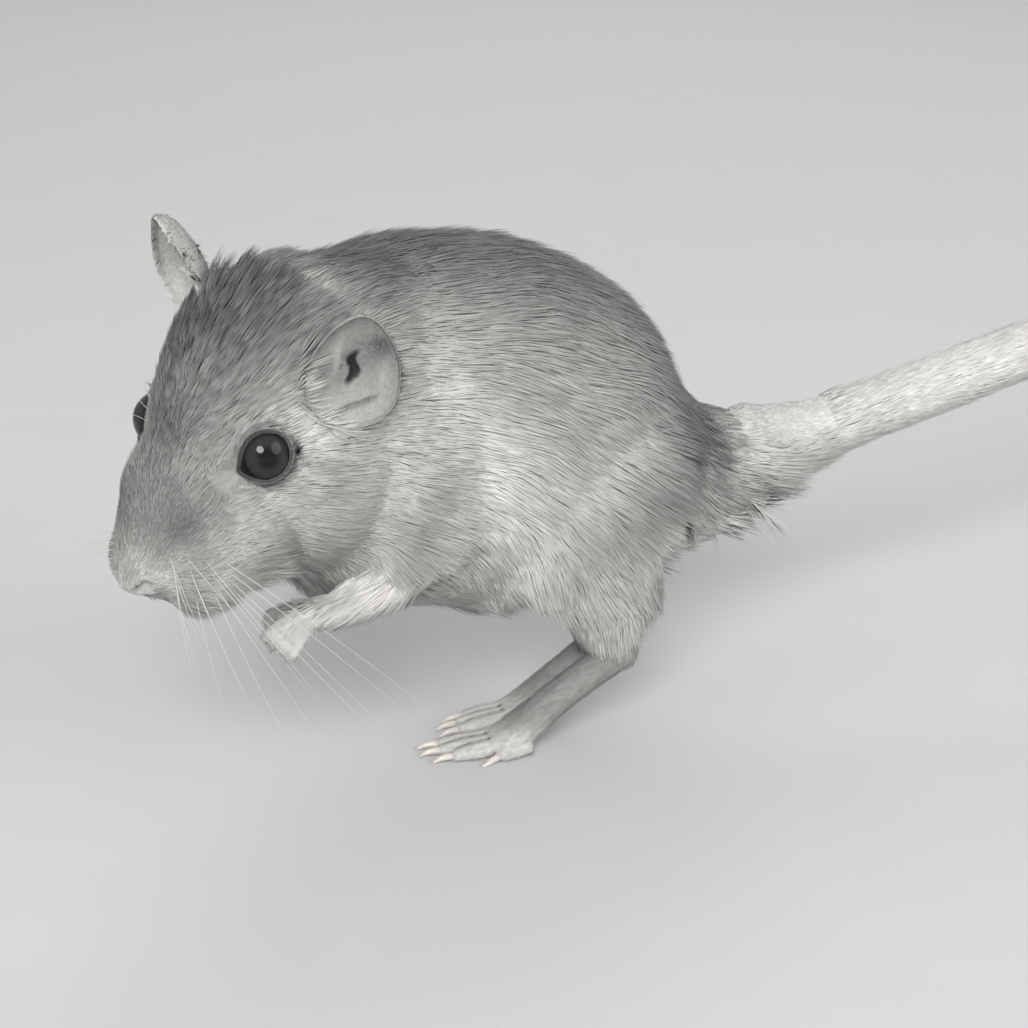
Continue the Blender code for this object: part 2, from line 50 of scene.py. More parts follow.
# %% [markdown]
# ## One ruler for everything
# The sculpting frame is in millimetres, with the hips near its origin, and the part's frame is in metres.
# The head has a frame of its own: ahead is towards the nose, aside is to the animal's right.

# %% Frames and named sizes
SHIFT = np.array([47.5, -2.7, 0.0])
SEED = 11
LEFT, RIGHT = -1, 1
HEAD_ORIGIN = np.array([-34.2, -22.2, 47.5])
HEAD_YAW, HEAD_PITCH, HEAD_ROLL = (math.radians(a) for a in (40, 32, 8))
EYE_RADIUS = 3.4
EYE_PLACE = np.array([-1.0, 6.7, -1.3])
EYE_LOOK = np.array([0.42, 0.71, 0.50])
EYE_SINK = 0.4
TAIL_PATH = [
    (30, 0, 33),
    (36, 0, 33),
    (48, 1.2, 34.6),
    (64, 4.4, 37.6),
    (82, 8.4, 41.0),
    (104, 13.4, 43.6),
    (122, 17.6, 44.0),
    (130, 19.6, 43.6),
]
TAIL_STATIONS = (30, 35, 38, 42, 48, 56, 100, 116, 126, 130)
TAIL_RADII = (8.6, 7.0, 5.9, 4.8, 3.9, 3.4, 3.2, 2.7, 1.6, 0.5)
ABOVE_FLOOR = 0.02

# Voxels of the skin and of the finer feet, and how far the solids grow before they melt together.
VOXEL = 0.42
FINE_VOXEL = 0.2
GROWN = 0.3
# The number of tufts in all, and in one piece at most.
TUFTS = 236000
PIECE_TUFTS = 32500


def unit(v):
    v = np.asarray(v, float)
    return v / np.maximum(np.linalg.norm(v, axis=-1, keepdims=True), 1e-12)


def head_axes():
    """Rows are the head's forward, right and up directions."""
    level = np.array([-math.cos(HEAD_YAW), -math.sin(HEAD_YAW), 0])
    up0 = np.array([0, 0, 1.0])
    forward = level * math.cos(HEAD_PITCH) - up0 * math.sin(HEAD_PITCH)
    up = level * math.sin(HEAD_PITCH) + up0 * math.cos(HEAD_PITCH)
    right = np.cross(forward, up)
    rolled_right = right * math.cos(HEAD_ROLL) + up * math.sin(HEAD_ROLL)
    rolled_up = up * math.cos(HEAD_ROLL) - right * math.sin(HEAD_ROLL)
    return np.array([forward, rolled_right, rolled_up])


HEAD = head_axes()


def in_head(place):
    """From the head's frame to the sculpting frame."""
    return HEAD_ORIGIN + np.asarray(place, float) @ HEAD


def to_head(points):
    """From the sculpting frame to the head's frame."""
    return (points - HEAD_ORIGIN) @ HEAD.T


def to_metres(points):
    return (np.asarray(points, float) - SHIFT) * 0.001


def to_sculpt(points):
    return np.asarray(points, float) * 1000.0 + SHIFT


def smoothstep(low, high, value):
    t = np.clip((value - low) / (high - low), 0, 1)
    return t * t * (3 - 2 * t)


# %% [markdown]
# ## Where the animal is seen from
# The camera stands a little to the animal's left and above it. Its place and axes come first, because some
# markings are named by where they are seen.

# %% Camera place and axes
AZIMUTH, ELEVATION = math.radians(-15), math.radians(20)
HALF_VIEW = math.radians(15)
HALF_PICTURE = 514
VIEW_DISTANCE = 215
VIEWPOINT = np.array([-52.9, -220.8, 110.0])
LEVEL_WAY = np.array([math.sin(AZIMUTH), -math.cos(AZIMUTH), 0.0])
TO_CAMERA = LEVEL_WAY * math.cos(ELEVATION) + (0, 0, math.sin(ELEVATION))
TO_RIGHT = np.array([math.cos(AZIMUTH), math.sin(AZIMUTH), 0.0])
TO_TOP = np.cross(TO_CAMERA, TO_RIGHT)
FOCAL = HALF_PICTURE / math.tan(HALF_VIEW)


def sight_line(x, y):
    """The direction from the camera through one place of the picture, counted from its upper left corner."""
    right, down = x - HALF_PICTURE, y - HALF_PICTURE
    return unit(TO_RIGHT * right / FOCAL - TO_TOP * down / FOCAL - TO_CAMERA)


print("camera at", VIEWPOINT, "mm, focal length", round(FOCAL), "picture units")


# %% [markdown]
# ## Small tools for meshes
# A mesh is made from arrays of points and faces, and read back into arrays.

# %% Mesh tools
def mesh_object(name, points, faces, smooth=True):
    """A linked object from sculpting-frame points and faces of equal length."""
    faces = np.asarray(faces, np.int32)
    mesh = bpy.data.meshes.new(name)
    mesh.vertices.add(len(points))
    mesh.vertices.foreach_set("co", to_metres(points).astype(np.float32).ravel())
    sides = faces.shape[1]
    mesh.loops.add(faces.size)
    mesh.loops.foreach_set("vertex_index", faces.ravel())
    mesh.polygons.add(len(faces))
    mesh.polygons.foreach_set("loop_start", np.arange(0, faces.size, sides, dtype=np.int32))
    mesh.update(calc_edges=True)
    if smooth:
        mesh.shade_smooth()
    obj = bpy.data.objects.new(name, mesh)
    bpy.context.scene.collection.objects.link(obj)
    return obj


def points_of(mesh):
    found = np.empty(len(mesh.vertices) * 3, np.float32)
    mesh.vertices.foreach_get("co", found)
    return to_sculpt(found.reshape(-1, 3))


def normals_of(mesh):
    found = np.empty(len(mesh.vertices) * 3, np.float32)
    mesh.vertex_normals.foreach_get("vector", found)
    return found.reshape(-1, 3).astype(float)


def triangles_of(mesh):
    mesh.calc_loop_triangles()
    found = np.empty(len(mesh.loop_triangles) * 3, np.int32)
    mesh.loop_triangles.foreach_get("vertices", found)
    return found.reshape(-1, 3)


def edges_of(mesh):
    found = np.empty(len(mesh.edges) * 2, np.int32)
    mesh.edges.foreach_get("vertices", found)
    return found.reshape(-1, 2)


def write_points(mesh, points):
    mesh.vertices.foreach_set("co", to_metres(points).astype(np.float32).ravel())
    mesh.update()


def freeze(obj):
    """Replaces an object's mesh by the one its modifiers make."""
    graph = bpy.context.evaluated_depsgraph_get()
    made = bpy.data.meshes.new_from_object(obj.evaluated_get(graph))
    obj.modifiers.clear()
    obj.data = made
    return obj

# %% [markdown]
# ## Blurs and smooth lines
# Values on a mesh are blurred along its edges, and a few stations become a smooth line.

# %% Blur and curves
def spread(values, edges, rounds):
    """Blurs values over a mesh's edges."""
    values = np.array(values, float)
    count = np.bincount(edges.ravel(), minlength=len(values)).astype(float) + 1
    for _ in range(rounds):
        if values.ndim == 1:
            total = values + np.bincount(edges[:, 0], values[edges[:, 1]], len(values))
            total += np.bincount(edges[:, 1], values[edges[:, 0]], len(values))
            values = total / count
        else:
            values = np.stack([spread(values[:, k], edges, 1) for k in range(values.shape[1])], 1)
    return values


def curve_through(stations, count):
    """Points of a Catmull-Rom curve through the stations, at even steps."""
    rows = np.array([stations[0], *stations, stations[-1]], float)
    steps = np.linspace(0, len(stations) - 1, count)
    k = np.minimum(steps.astype(int), len(stations) - 2)
    t = (steps - k)[:, None]
    a, b, c, d = rows[k], rows[k + 1], rows[k + 2], rows[k + 3]
    return 0.5 * (2 * b + (c - a) * t + (2 * a - 5 * b + 4 * c - d) * t**2 + (3 * b - a - 3 * c + d) * t**3)

# %% [markdown]
# ## Tubes and balls
# Tails, claws and ankle joints start as closed tubes, and eyes and wrists as closed balls.

# %% Closed forms
def tube(path, radii, sides):
    """Points and triangles of a closed round tube."""
    path = np.asarray(path, float)
    along = unit(np.gradient(path, axis=0))
    ref = np.array([0, 0, 1.0]) if abs(along[0, 2]) < 0.8 else np.array([1.0, 0, 0])
    side = unit(np.cross(along, ref))
    top = np.cross(side, along)
    turn = np.arange(sides) / sides * math.tau
    ring = side[:, None] * np.cos(turn)[None, :, None] + top[:, None] * np.sin(turn)[None, :, None]
    points = (path[:, None] + ring * np.asarray(radii, float)[:, None, None]).reshape(-1, 3)
    i, k = np.meshgrid(np.arange(len(path) - 1), np.arange(sides), indexing="ij")
    a, b = i * sides + k, i * sides + (k + 1) % sides
    c, d = b + sides, a + sides
    faces = np.concatenate([np.stack([a, b, c], -1).reshape(-1, 3), np.stack([a, c, d], -1).reshape(-1, 3)])
    points = np.concatenate([points, path[:1], path[-1:]])
    k = np.arange(sides)
    n = (k + 1) % sides
    last = (len(path) - 1) * sides
    start = np.stack([n, k, np.full(sides, len(points) - 2)], -1)
    end = np.stack([last + k, last + n, np.full(sides, len(points) - 1)], -1)
    return points, np.concatenate([faces, start, end])


def ball(centre, radius, rings=16, sides=24):
    """Points and triangles of a closed sphere."""
    t = np.linspace(0, math.pi, rings + 1)[1:-1]
    z = np.concatenate([[1.0], np.cos(t), [-1.0]])
    r = np.concatenate([[0.0], np.sin(t), [0.0]])
    path = np.asarray(centre, float) + np.stack([0 * z, 0 * z, z * radius], 1)
    turn = np.arange(sides) / sides * math.tau
    ring = np.stack([np.cos(turn), np.sin(turn), 0 * turn], 1)
    points = (path[1:-1, None] + ring[None] * (r[1:-1] * radius)[:, None, None]).reshape(-1, 3)
    points = np.concatenate([points, path[:1], path[-1:]])
    i, k = np.meshgrid(np.arange(rings - 2), np.arange(sides), indexing="ij")
    a, b = i * sides + k, i * sides + (k + 1) % sides
    faces = [np.stack([a, a + sides, b], -1).reshape(-1, 3)]
    faces.append(np.stack([b, a + sides, b + sides], -1).reshape(-1, 3))
    k = np.arange(sides)
    n = (k + 1) % sides
    last = (rings - 2) * sides
    faces.append(np.stack([np.full(sides, len(points) - 2), k, n], -1))
    faces.append(np.stack([last + n, last + k, np.full(sides, len(points) - 1)], -1))
    return points, np.concatenate(faces)


def joined(parts):
    """Joins (points, faces) pairs into one pair."""
    points, faces, start = [], [], 0
    for p, f in parts:
        points.append(p)
        faces.append(np.asarray(f) + start)
        start += len(p)
    return np.concatenate(points), np.concatenate(faces)


# %% [markdown]
# ## The skin
# The solids reach out to the tips of the coat. Here they are grown a little, so that their thin cuts close,
# and melted into one surface. Then every point sinks by the depth of the coat at its place.
# A voxel remesh was chosen because it welds overlapping solids into one even mesh without any seam.

# %% Melt the solids into one surface
fleshy = [n for n in sorted(nodes) if not n.startswith(("eye_", "ear_", "tail_", "hind_foot", "forepaw"))]
parts = []
for name in fleshy:
    mesh = nodes[name].data
    parts.append((points_of(mesh) + normals_of(mesh) * GROWN, triangles_of(mesh)))
tail_line = curve_through(TAIL_PATH, 80)
tail_radii = np.interp(tail_line[:, 0], TAIL_STATIONS, TAIL_RADII)
parts.append(tube(tail_line, tail_radii, 24))
eye_centres = {side: in_head(EYE_PLACE * (1, side, 1)) for side in (LEFT, RIGHT)}
eye_looks = {side: unit((EYE_LOOK * (1, side, 1)) @ HEAD) for side in (LEFT, RIGHT)}
for side in (LEFT, RIGHT):
    parts.append(ball(eye_centres[side], EYE_RADIUS - EYE_SINK))
ANKLES = {LEFT: np.array([15.2, -12.4, 12.6]), RIGHT: np.array([18.8, -3.8, 12.6])}
WRISTS = {LEFT: np.array([-22.9, -18.9, 24.4]), RIGHT: np.array([-21.9, -12.6, 21.8])}
PAWS = {
    LEFT: (np.array([-0.73, -0.17, -0.67]), np.array([0.24, 0.91, -0.34])),
    RIGHT: (np.array([-0.93, 0.12, -0.35]), np.array([0.20, 0.40, -0.88])),
}
for side in (LEFT, RIGHT):
    heel = ANKLES[side] + (1.3, 0, -0.6)
    parts.append(tube([heel + (0, 0, -0.6), heel + (0, 0, 1.4), heel + (-0.2, 0, 4.0)], [1.7, 1.9, 2.2], 14))
    parts.append(ball(WRISTS[side] + PAWS[side][0] * 0.7, 1.35, 8, 14))


def melted(name, pairs, voxel, rounds):
    """One closed surface round all pairs of points and faces."""
    obj = mesh_object(name, *joined(pairs))
    remesh = obj.modifiers.new("melt", "REMESH")
    remesh.mode = "VOXEL"
    remesh.voxel_size = voxel * 0.001
    soften = obj.modifiers.new("soften", "SMOOTH")
    soften.factor = 0.5
    soften.iterations = rounds
    return freeze(obj)


skin = melted("skin", parts, VOXEL, 6)
print("melted skin:", len(skin.data.vertices), "points")

# %% [markdown]
# ## Taking the locks off the skin
# The solids carry a few thick locks under the root of the tail. Real hair does not shape the skin, so the
# skin there is drawn back to the round of the rump, and real tufts take the locks' place later.

# %% Round the rump
skin_points = points_of(skin.data)
skin_edges = edges_of(skin.data)
middle_line = np.stack([np.interp(skin_points[:, 0], tail_line[:, 0], tail_line[:, k]) for k in (1, 2)], 1)
away = skin_points[:, 1:] - middle_line
radius = np.linalg.norm(away, axis=1)
rump_steps = np.arange(31, 58, 1.0)
upper = away[:, 1] > 0.3 * radius
rump_radii = []
for x in rump_steps:
    there = upper & (np.abs(skin_points[:, 0] - x) < 1.0)
    rump_radii.append(np.percentile(radius[there], 90))
allowed = np.interp(skin_points[:, 0], rump_steps, np.array(rump_radii) * 1.06)
behind = smoothstep(31.5, 34.5, skin_points[:, 0]) * (skin_points[:, 0] < 58) * (away[:, 1] < 0)
held = np.where((behind > 0) & (radius > allowed), allowed + (radius - allowed) * (1 - behind), radius)
skin_points[:, 1:] = middle_line + away * (held / np.maximum(radius, 1e-6))[:, None]
rump = np.exp(-((np.linalg.norm(skin_points - (37.5, 0, 30), axis=1) / 9.0) ** 2))
blurred = spread(skin_points, skin_edges, 24)
skin_points += (blurred - skin_points) * np.clip(rump * 1.8, 0, 1)[:, None]
write_points(skin.data, skin_points)
print("rump radius from", round(min(rump_radii), 1), "to", round(max(rump_radii), 1))

# %% [markdown]
# ## Which solid lies nearest
# Each point of the skin takes the name of the solid it came from. The name sets the depth of the coat,
# and the length, width, number and lift of the tufts.

# %% Label the skin
label_names = [n for n in sorted(nodes) if not n.startswith("eye_")]
label_points, label_faces, label_of_face = [], [], []
start = 0
for index, name in enumerate(label_names):
    mesh = nodes[name].data
    p, f = points_of(mesh), triangles_of(mesh)
    label_points.append(p)
    label_faces.append(f + start)
    label_of_face += [index] * len(f)
    start += len(p)
label_tree = BVHTree.FromPolygons(np.concatenate(label_points).tolist(), np.concatenate(label_faces).tolist())
label_array = np.array(label_names)


def label(points):
    """The index of the nearest solid for each point."""
    return np.array([label_of_face[label_tree.find_nearest(p)[2]] for p in points.tolist()])


def seen_on(tree, x, y):
    """The place on a surface that shows at one place of the picture."""
    hit = tree.ray_cast(Vector(VIEWPOINT), Vector(sight_line(x, y)))[0]
    if hit is None:
        hit = tree.find_nearest(Vector(VIEWPOINT + sight_line(x, y) * VIEW_DISTANCE))[0]
    return np.array(hit)


# Depth of coat, tufts per square millimetre, length, width and lift in degrees.
COAT = {
    "torso": (2.0, 12.5, 5.4, 0.15, 11),
    "neck": (1.9, 14.0, 5.0, 0.14, 12),
    "head": (1.2, 22.0, 3.0, 0.12, 12),
    "ear": (0.0, 20.0, 0.9, 0.05, 14),
    "foreleg": (0.8, 22.0, 3.3, 0.11, 18),
    "forepaw": (0.0, 16.0, 0.8, 0.05, 8),
    "hind_leg": (1.9, 13.0, 5.0, 0.14, 11),
    "hind_foot": (0.0, 15.0, 1.0, 0.05, 7),
    "tail": (0.0, 18.0, 3.4, 0.12, 12),
}
rows = []
for name in label_names:
    kind = next(k for k in sorted(COAT, key=len, reverse=True) if name.startswith(k))
    rows.append(COAT[kind])
COAT_ROWS = np.array(rows, float)


def near(points, centre, radius):
    return np.exp(-((np.linalg.norm(points - centre, axis=1) / radius) ** 2))

# %% [markdown]
# ## How the coat changes over the body
# The rows above are changed smoothly over the body. Fur is shortest at the nose, longer at the throat and
# under the belly, and longest below the root of the tail and at the tail's brush.

# %% Coat of each place
# Where the longer hair of chin and throat shows in the picture, from nose to chest.
CHIN_SEEN = ((186, 600), (206, 602), (232, 590))
THROAT_SEEN = ((262, 572), (300, 578), (345, 590), (390, 600))
CHIN = [seen_on(label_tree, x, y) for x, y in CHIN_SEEN]
THROAT = [seen_on(label_tree, x, y) for x, y in THROAT_SEEN]


def coat_fields(points, labels):
    """Rows of depth, density, length, width and lift, changed over the head, throat, rump and ankles."""
    found = COAT_ROWS[labels].copy()
    ahead, aside, above = to_head(points).T
    names = label_array[labels]
    head = names == "head"
    face = smoothstep(-16, 15.5, ahead)
    found[head, 0] = (1.8 - 1.65 * face)[head]
    found[head, 1] = (16.0 + 22.0 * face)[head]
    found[head, 2] = (4.4 - 3.3 * face)[head]
    found[head, 3] = (0.14 - 0.07 * face)[head]
    chin = np.clip(sum(near(points, place, 2.6) for place in CHIN), 0, 1) * head
    found[:, 2] += 1.5 * chin
    found[:, 4] += 14.0 * chin
    throat = np.clip(sum(near(points, place, 4.5) for place in THROAT), 0, 1)
    throat *= ~np.char.startswith(names, "foreleg")
    found[:, 2] += 3.4 * throat
    found[:, 4] += 12.0 * throat
    under = smoothstep(29, 20, points[:, 2]) * (names == "torso")
    found[:, 2] += 1.2 * under
    found[:, 4] += 11.0 * under
    leg = np.char.startswith(names, "hind_leg")
    low = smoothstep(30.0, 13.0, points[:, 2])
    found[leg, 0] = (1.9 - 1.5 * low)[leg]
    found[leg, 2] = (5.0 - 0.8 * low)[leg]
    found[leg, 3] = (0.14 - 0.04 * low)[leg]
    found[leg, 4] = (11 + 9 * low)[leg]
    below = smoothstep(1.0, -2.5, points[:, 2] - np.interp(points[:, 0], tail_line[:, 0], tail_line[:, 2]))
    rear = smoothstep(22, 33, points[:, 0]) * smoothstep(50, 38, points[:, 0]) * below
    found[:, 2] += 3.4 * rear
    found[:, 4] += 7.0 * rear
    tuft = smoothstep(104, 126, points[:, 0])
    tail = np.char.startswith(names, "tail")
    found[tail, 2] = (3.4 + 5.6 * tuft + 3.4 * rear)[tail]
    found[tail, 3] = (0.12 + 0.05 * tuft)[tail]
    return found


skin_labels = label(skin_points)
skin_coat = spread(coat_fields(skin_points, skin_labels), skin_edges, 12)
print("solids named on the skin:", len(set(skin_labels.tolist())))

# %% [markdown]
# ## Sinking the skin below the coat
# The tail's core is already thin, so only the melted solids sink, by the coat's depth and by what they grew.
# Where rump and tail meet, the radius about the tail's middle line is held between two limits, which gives
# the smooth cone of a rodent's tail root.

# %% Sink the skin
ROOT_STATIONS = (31, 34, 37, 40, 44, 50, 56)
ROOT_WIDEST = (11.0, 7.6, 5.8, 4.9, 4.4, 3.8, 3.4)
ROOT_NARROWEST = (4.0, 4.4, 4.4, 4.3, 4.1, 3.6, 3.3)
ROOT_REACH = 14
tail_mark = np.char.startswith(label_array[skin_labels], "tail").astype(float)
tail_mark = spread(tail_mark, skin_edges, 8)
sink = (skin_coat[:, 0] + GROWN) * (1 - tail_mark)
flow_normals = unit(spread(normals_of(skin.data), skin_edges, 4))
skin_points = skin_points - flow_normals * sink[:, None]
write_points(skin.data, skin_points)
middle_line = np.stack([np.interp(skin_points[:, 0], tail_line[:, 0], tail_line[:, k]) for k in (1, 2)], 1)
away = skin_points[:, 1:] - middle_line
radius = np.maximum(np.linalg.norm(away, axis=1), 1e-6)
widest = np.interp(skin_points[:, 0], ROOT_STATIONS, ROOT_WIDEST)
widest += 1.2 * smoothstep(42, 36, skin_points[:, 0]) * (away[:, 1] < 0)
narrowest = np.interp(skin_points[:, 0], ROOT_STATIONS, ROOT_NARROWEST)
at_root = smoothstep(31, 35, skin_points[:, 0]) * smoothstep(58, 54, skin_points[:, 0])
at_root = at_root * (radius < ROOT_REACH)
held = radius + (np.clip(radius, narrowest, widest) - radius) * at_root
skin_points[:, 1:] = middle_line + away * (held / radius)[:, None]
step_mark = np.exp(-(((skin_points[:, 0] - 38) / 5.0) ** 2)) * (radius < ROOT_REACH)
blurred = spread(skin_points, skin_edges, 24)
skin_points += (blurred - skin_points) * step_mark[:, None]
write_points(skin.data, skin_points)
relax = skin.modifiers.new("relax", "SMOOTH")
relax.factor = 0.5
relax.iterations = 3
freeze(skin)
print("coat depth from", round(float(sink.min()), 2), "to", round(float(sink.max()), 2))

# %% [markdown]
# ## Finer mesh on the face
# Faces round the eyes and on the muzzle are divided, so that lids, lips and nostrils have room.

# %% Divide the face
work = bmesh.new()
work.from_mesh(skin.data)
chosen = []
for face in work.faces:
    p = to_sculpt(np.array(face.calc_center_median()))
    near_eye = min(np.linalg.norm(p - eye_centres[s]) for s in (LEFT, RIGHT)) < 5.4 if p[0] < -15 else False
    if near_eye or (p[0] < -30 and to_head(p)[0] > 9.0):
        chosen.append(face)
edges = {edge for face in chosen for edge in face.edges}
bmesh.ops.subdivide_edges(work, edges=list(edges), cuts=2, use_grid_fill=True)
bmesh.ops.triangulate(work, faces=[f for f in work.faces if len(f.verts) > 4])
work.to_mesh(skin.data)
work.free()
print("skin after dividing the face:", len(skin.data.vertices), "points")

# %% [markdown]
# ## Lids
# Each point near an eye is placed by its direction from the eye's centre. Inside the opening it sinks below
# the eyeball. At the margin it rises to a thin lid, and further out it returns to the cheek and brow.

# %% Lids
# Angles of the opening and its corners in degrees, then the lid's height over the eyeball and its reach.
LID_WIDE, LID_HIGH = 50.0, 46.5
FRONT_CORNER, REAR_CORNER = 13.0, 2.0
LID_RISE, LID_REACH = 0.22, 9.5


def eye_angles(points, side):
    """Distance, angle from the look and turn round it, for points near one eye."""
    look = eye_looks[side]
    ahead = unit(HEAD[0] - look * (look @ HEAD[0]))
    above = np.cross(look, ahead) * (-side)
    away = points - eye_centres[side]
    distance = np.linalg.norm(away, axis=1)
    direction = away / np.maximum(distance, 1e-9)[:, None]
    theta = np.degrees(np.arccos(np.clip(direction @ look, -1, 1)))
    phi = np.arctan2(direction @ above, direction @ ahead)
    return distance, theta, phi


def opening(phi):
    """The lid margin's angle from the look: nearly round, with a pointed front corner a little low."""
    base = 1 / np.sqrt((np.cos(phi) / LID_WIDE) ** 2 + (np.sin(phi) / LID_HIGH) ** 2)
    front = np.exp(-np.abs((phi + 0.22) / 0.30) ** 1.5)
    rear = np.exp(-(((np.abs(phi) - math.pi) / 0.4) ** 2))
    return base + FRONT_CORNER * front + REAR_CORNER * rear


skin_points = points_of(skin.data)
for side in (LEFT, RIGHT):
    distance, theta, phi = eye_angles(skin_points, side)
    edge = opening(phi)
    close = (distance < LID_REACH) & (theta < 115)
    inside = EYE_RADIUS - EYE_SINK
    margin = EYE_RADIUS + LID_RISE
    rise = smoothstep(-4.0, 0.5, theta - edge)
    lid_radius = inside + (margin - inside) * rise
    lid_radius += 0.16 * np.exp(-(((theta - edge - 6) / 4) ** 2))
    crease = -0.16 * np.exp(-(((theta - edge - 15) / 3.5) ** 2)) * (1 + 0.6 * np.sin(phi * 2))
    out = smoothstep(5.0, 40.0, theta - edge)
    target = lid_radius * (1 - out) + distance * out + crease
    moved = eye_centres[side] + (skin_points - eye_centres[side]) / distance[:, None] * target[:, None]
    skin_points[close] = moved[close]
    print("points moved round one eye:", int(close.sum()))
write_points(skin.data, skin_points)

# %% [markdown]
# ## Lips, nostrils and the cleft
# A groove is a dip in the skin along a line, with a soft swelling on both sides. The nose pad is plump and
# finely wrinkled.

# %% Mouth and nose
def distance_to_line(points, line):
    """The shortest distance from each point to a polyline."""
    best = np.full(len(points), 1e9)
    for a, b in zip(line[:-1], line[1:]):
        ab = b - a
        t = np.clip(((points - a) @ ab) / (ab @ ab), 0, 1)
        best = np.minimum(best, np.linalg.norm(points - (a + t[:, None] * ab), axis=1))
    return best


def wave(points, scale, seed, count=6):
    """Soft noise from summed sines, between -1 and 1."""
    dice = np.random.default_rng(seed)
    total = np.zeros(len(points))
    for _ in range(count):
        direction = unit(dice.normal(size=3)) / scale * dice.uniform(0.7, 1.5)
        total += np.sin(points @ direction * math.tau + dice.uniform(0, math.tau))
    return total / count

# %% [markdown]
# ## Pressing them into the muzzle
# The places of mouth, cleft and nostrils are given in the head's frame and dropped onto the skin.

# %% Press in the mouth
skin_tree = BVHTree.FromPolygons(skin_points.tolist(), triangles_of(skin.data).tolist())


def on_skin(place):
    return np.array(skin_tree.find_nearest(in_head(place).tolist())[0])


def seen_at(x, y):
    return seen_on(skin_tree, x, y)


normals = normals_of(skin.data)
LIP = (13.6, 0, -12.2)
MOUTH_PATH = ((6.0, -5.6, -13.4), (10.5, -3.8, -12.8), LIP, (10.5, 3.8, -12.8), (6.0, 5.6, -13.4))
CLEFT_PATH = (LIP, (15.4, 0, -9.8), (17.0, 0, -8.0))
NOSTRIL = np.array([17.0, 1.9, -5.6])
mouth = curve_through([on_skin(p) for p in MOUTH_PATH], 24)
cleft = curve_through([on_skin(p) for p in CLEFT_PATH], 8)
push = np.zeros(len(skin_points))
for line, width, depth in ((mouth, 0.45, 0.75), (cleft, 0.26, 0.32)):
    d = distance_to_line(skin_points, line)
    push += -depth * np.exp(-((d / width) ** 2)) + 0.3 * depth * np.exp(-(((d - 2.2 * width) / width) ** 2))
nose_tip = in_head((17.2, 0, -6.2))
pad = near(skin_points, nose_tip, 2.6)
push += pad * (0.28 + 0.10 * wave(skin_points, 0.7, 31))
for side in (LEFT, RIGHT):
    nostril = on_skin(NOSTRIL * (1, side, 1))
    d = np.linalg.norm(skin_points - nostril, axis=1)
    push += -0.75 * np.exp(-((d / 0.55) ** 2)) + 0.24 * np.exp(-(((d - 1.15) / 0.4) ** 2))
    push += 0.35 * near(skin_points, in_head((11.5, side * 4.2, -9.2)), 3.0)
skin_points = skin_points + normals * push[:, None]
write_points(skin.data, skin_points)
skin_tree = BVHTree.FromPolygons(skin_points.tolist(), triangles_of(skin.data).tolist())
print("muzzle pushed from", round(float(push.min()), 2), "to", round(float(push.max()), 2))

# %% [markdown]
# ## Feet and hands
# A gerbil's feet are thinly haired, and their toes stand apart. The solids of the feet are melted on their
# own with finer voxels, so that the gaps between the toes stay open.

# %% Feet and hands
foot_names = [n for n in sorted(nodes) if n.startswith(("hind_foot", "forepaw"))]
foot_parts = []
for name in foot_names:
    mesh = nodes[name].data
    fine = melted(name + "_fine", [(points_of(mesh), triangles_of(mesh))], FINE_VOXEL, 5)
    p = points_of(fine.data)
    n = normals_of(fine.data)
    p = p + n * (0.05 * wave(p, 1.6, 17))[:, None]
    p[:, 2] = np.maximum(p[:, 2], ABOVE_FLOOR)
    foot_parts.append((p, triangles_of(fine.data), label_names.index(name)))
    bpy.data.objects.remove(fine, do_unlink=True)
print("feet and hands:", sum(len(p) for p, _, _ in foot_parts), "points")

# %% [markdown]
# ## Ears
# An ear is a thin shell, naked inside and finely haired. Its front face is a cup with a rolled rim, a canal
# and a fold above the lobe. Two grids of rings, one for each face, meet at the rim and close the shell.

# %% Ear shells
# Place, tip and cup directions in the head's frame, then height, width, depth and how pointed the tip is.
EAR_MIDDLE = 0.46
EARS = {
    LEFT: ((-8.7, -12.2, -2.2), (-0.58, -0.09, 0.81), (0.46, -0.66, 0.60), 12.6, 10.2, 2.6, 0.04),
    RIGHT: ((-11.8, 7.2, 5.2), (-0.24, 0.20, 0.95), (0.84, 0.30, 0.30), 10.8, 8.2, 3.2, 0.30),
}


def ear_axes(side):
    """The ear's tip direction, the direction its cup opens to, and the direction across."""
    tall = unit(np.array(EARS[side][1]) @ HEAD)
    out = np.array(EARS[side][2]) @ HEAD
    out = unit(out - tall * (tall @ out))
    return tall, out, np.cross(tall, out)


def bump_at(x, y, x0, y0, wide, high):
    return np.exp(-(((x - x0) / wide) ** 2) - ((y - y0) / high) ** 2)
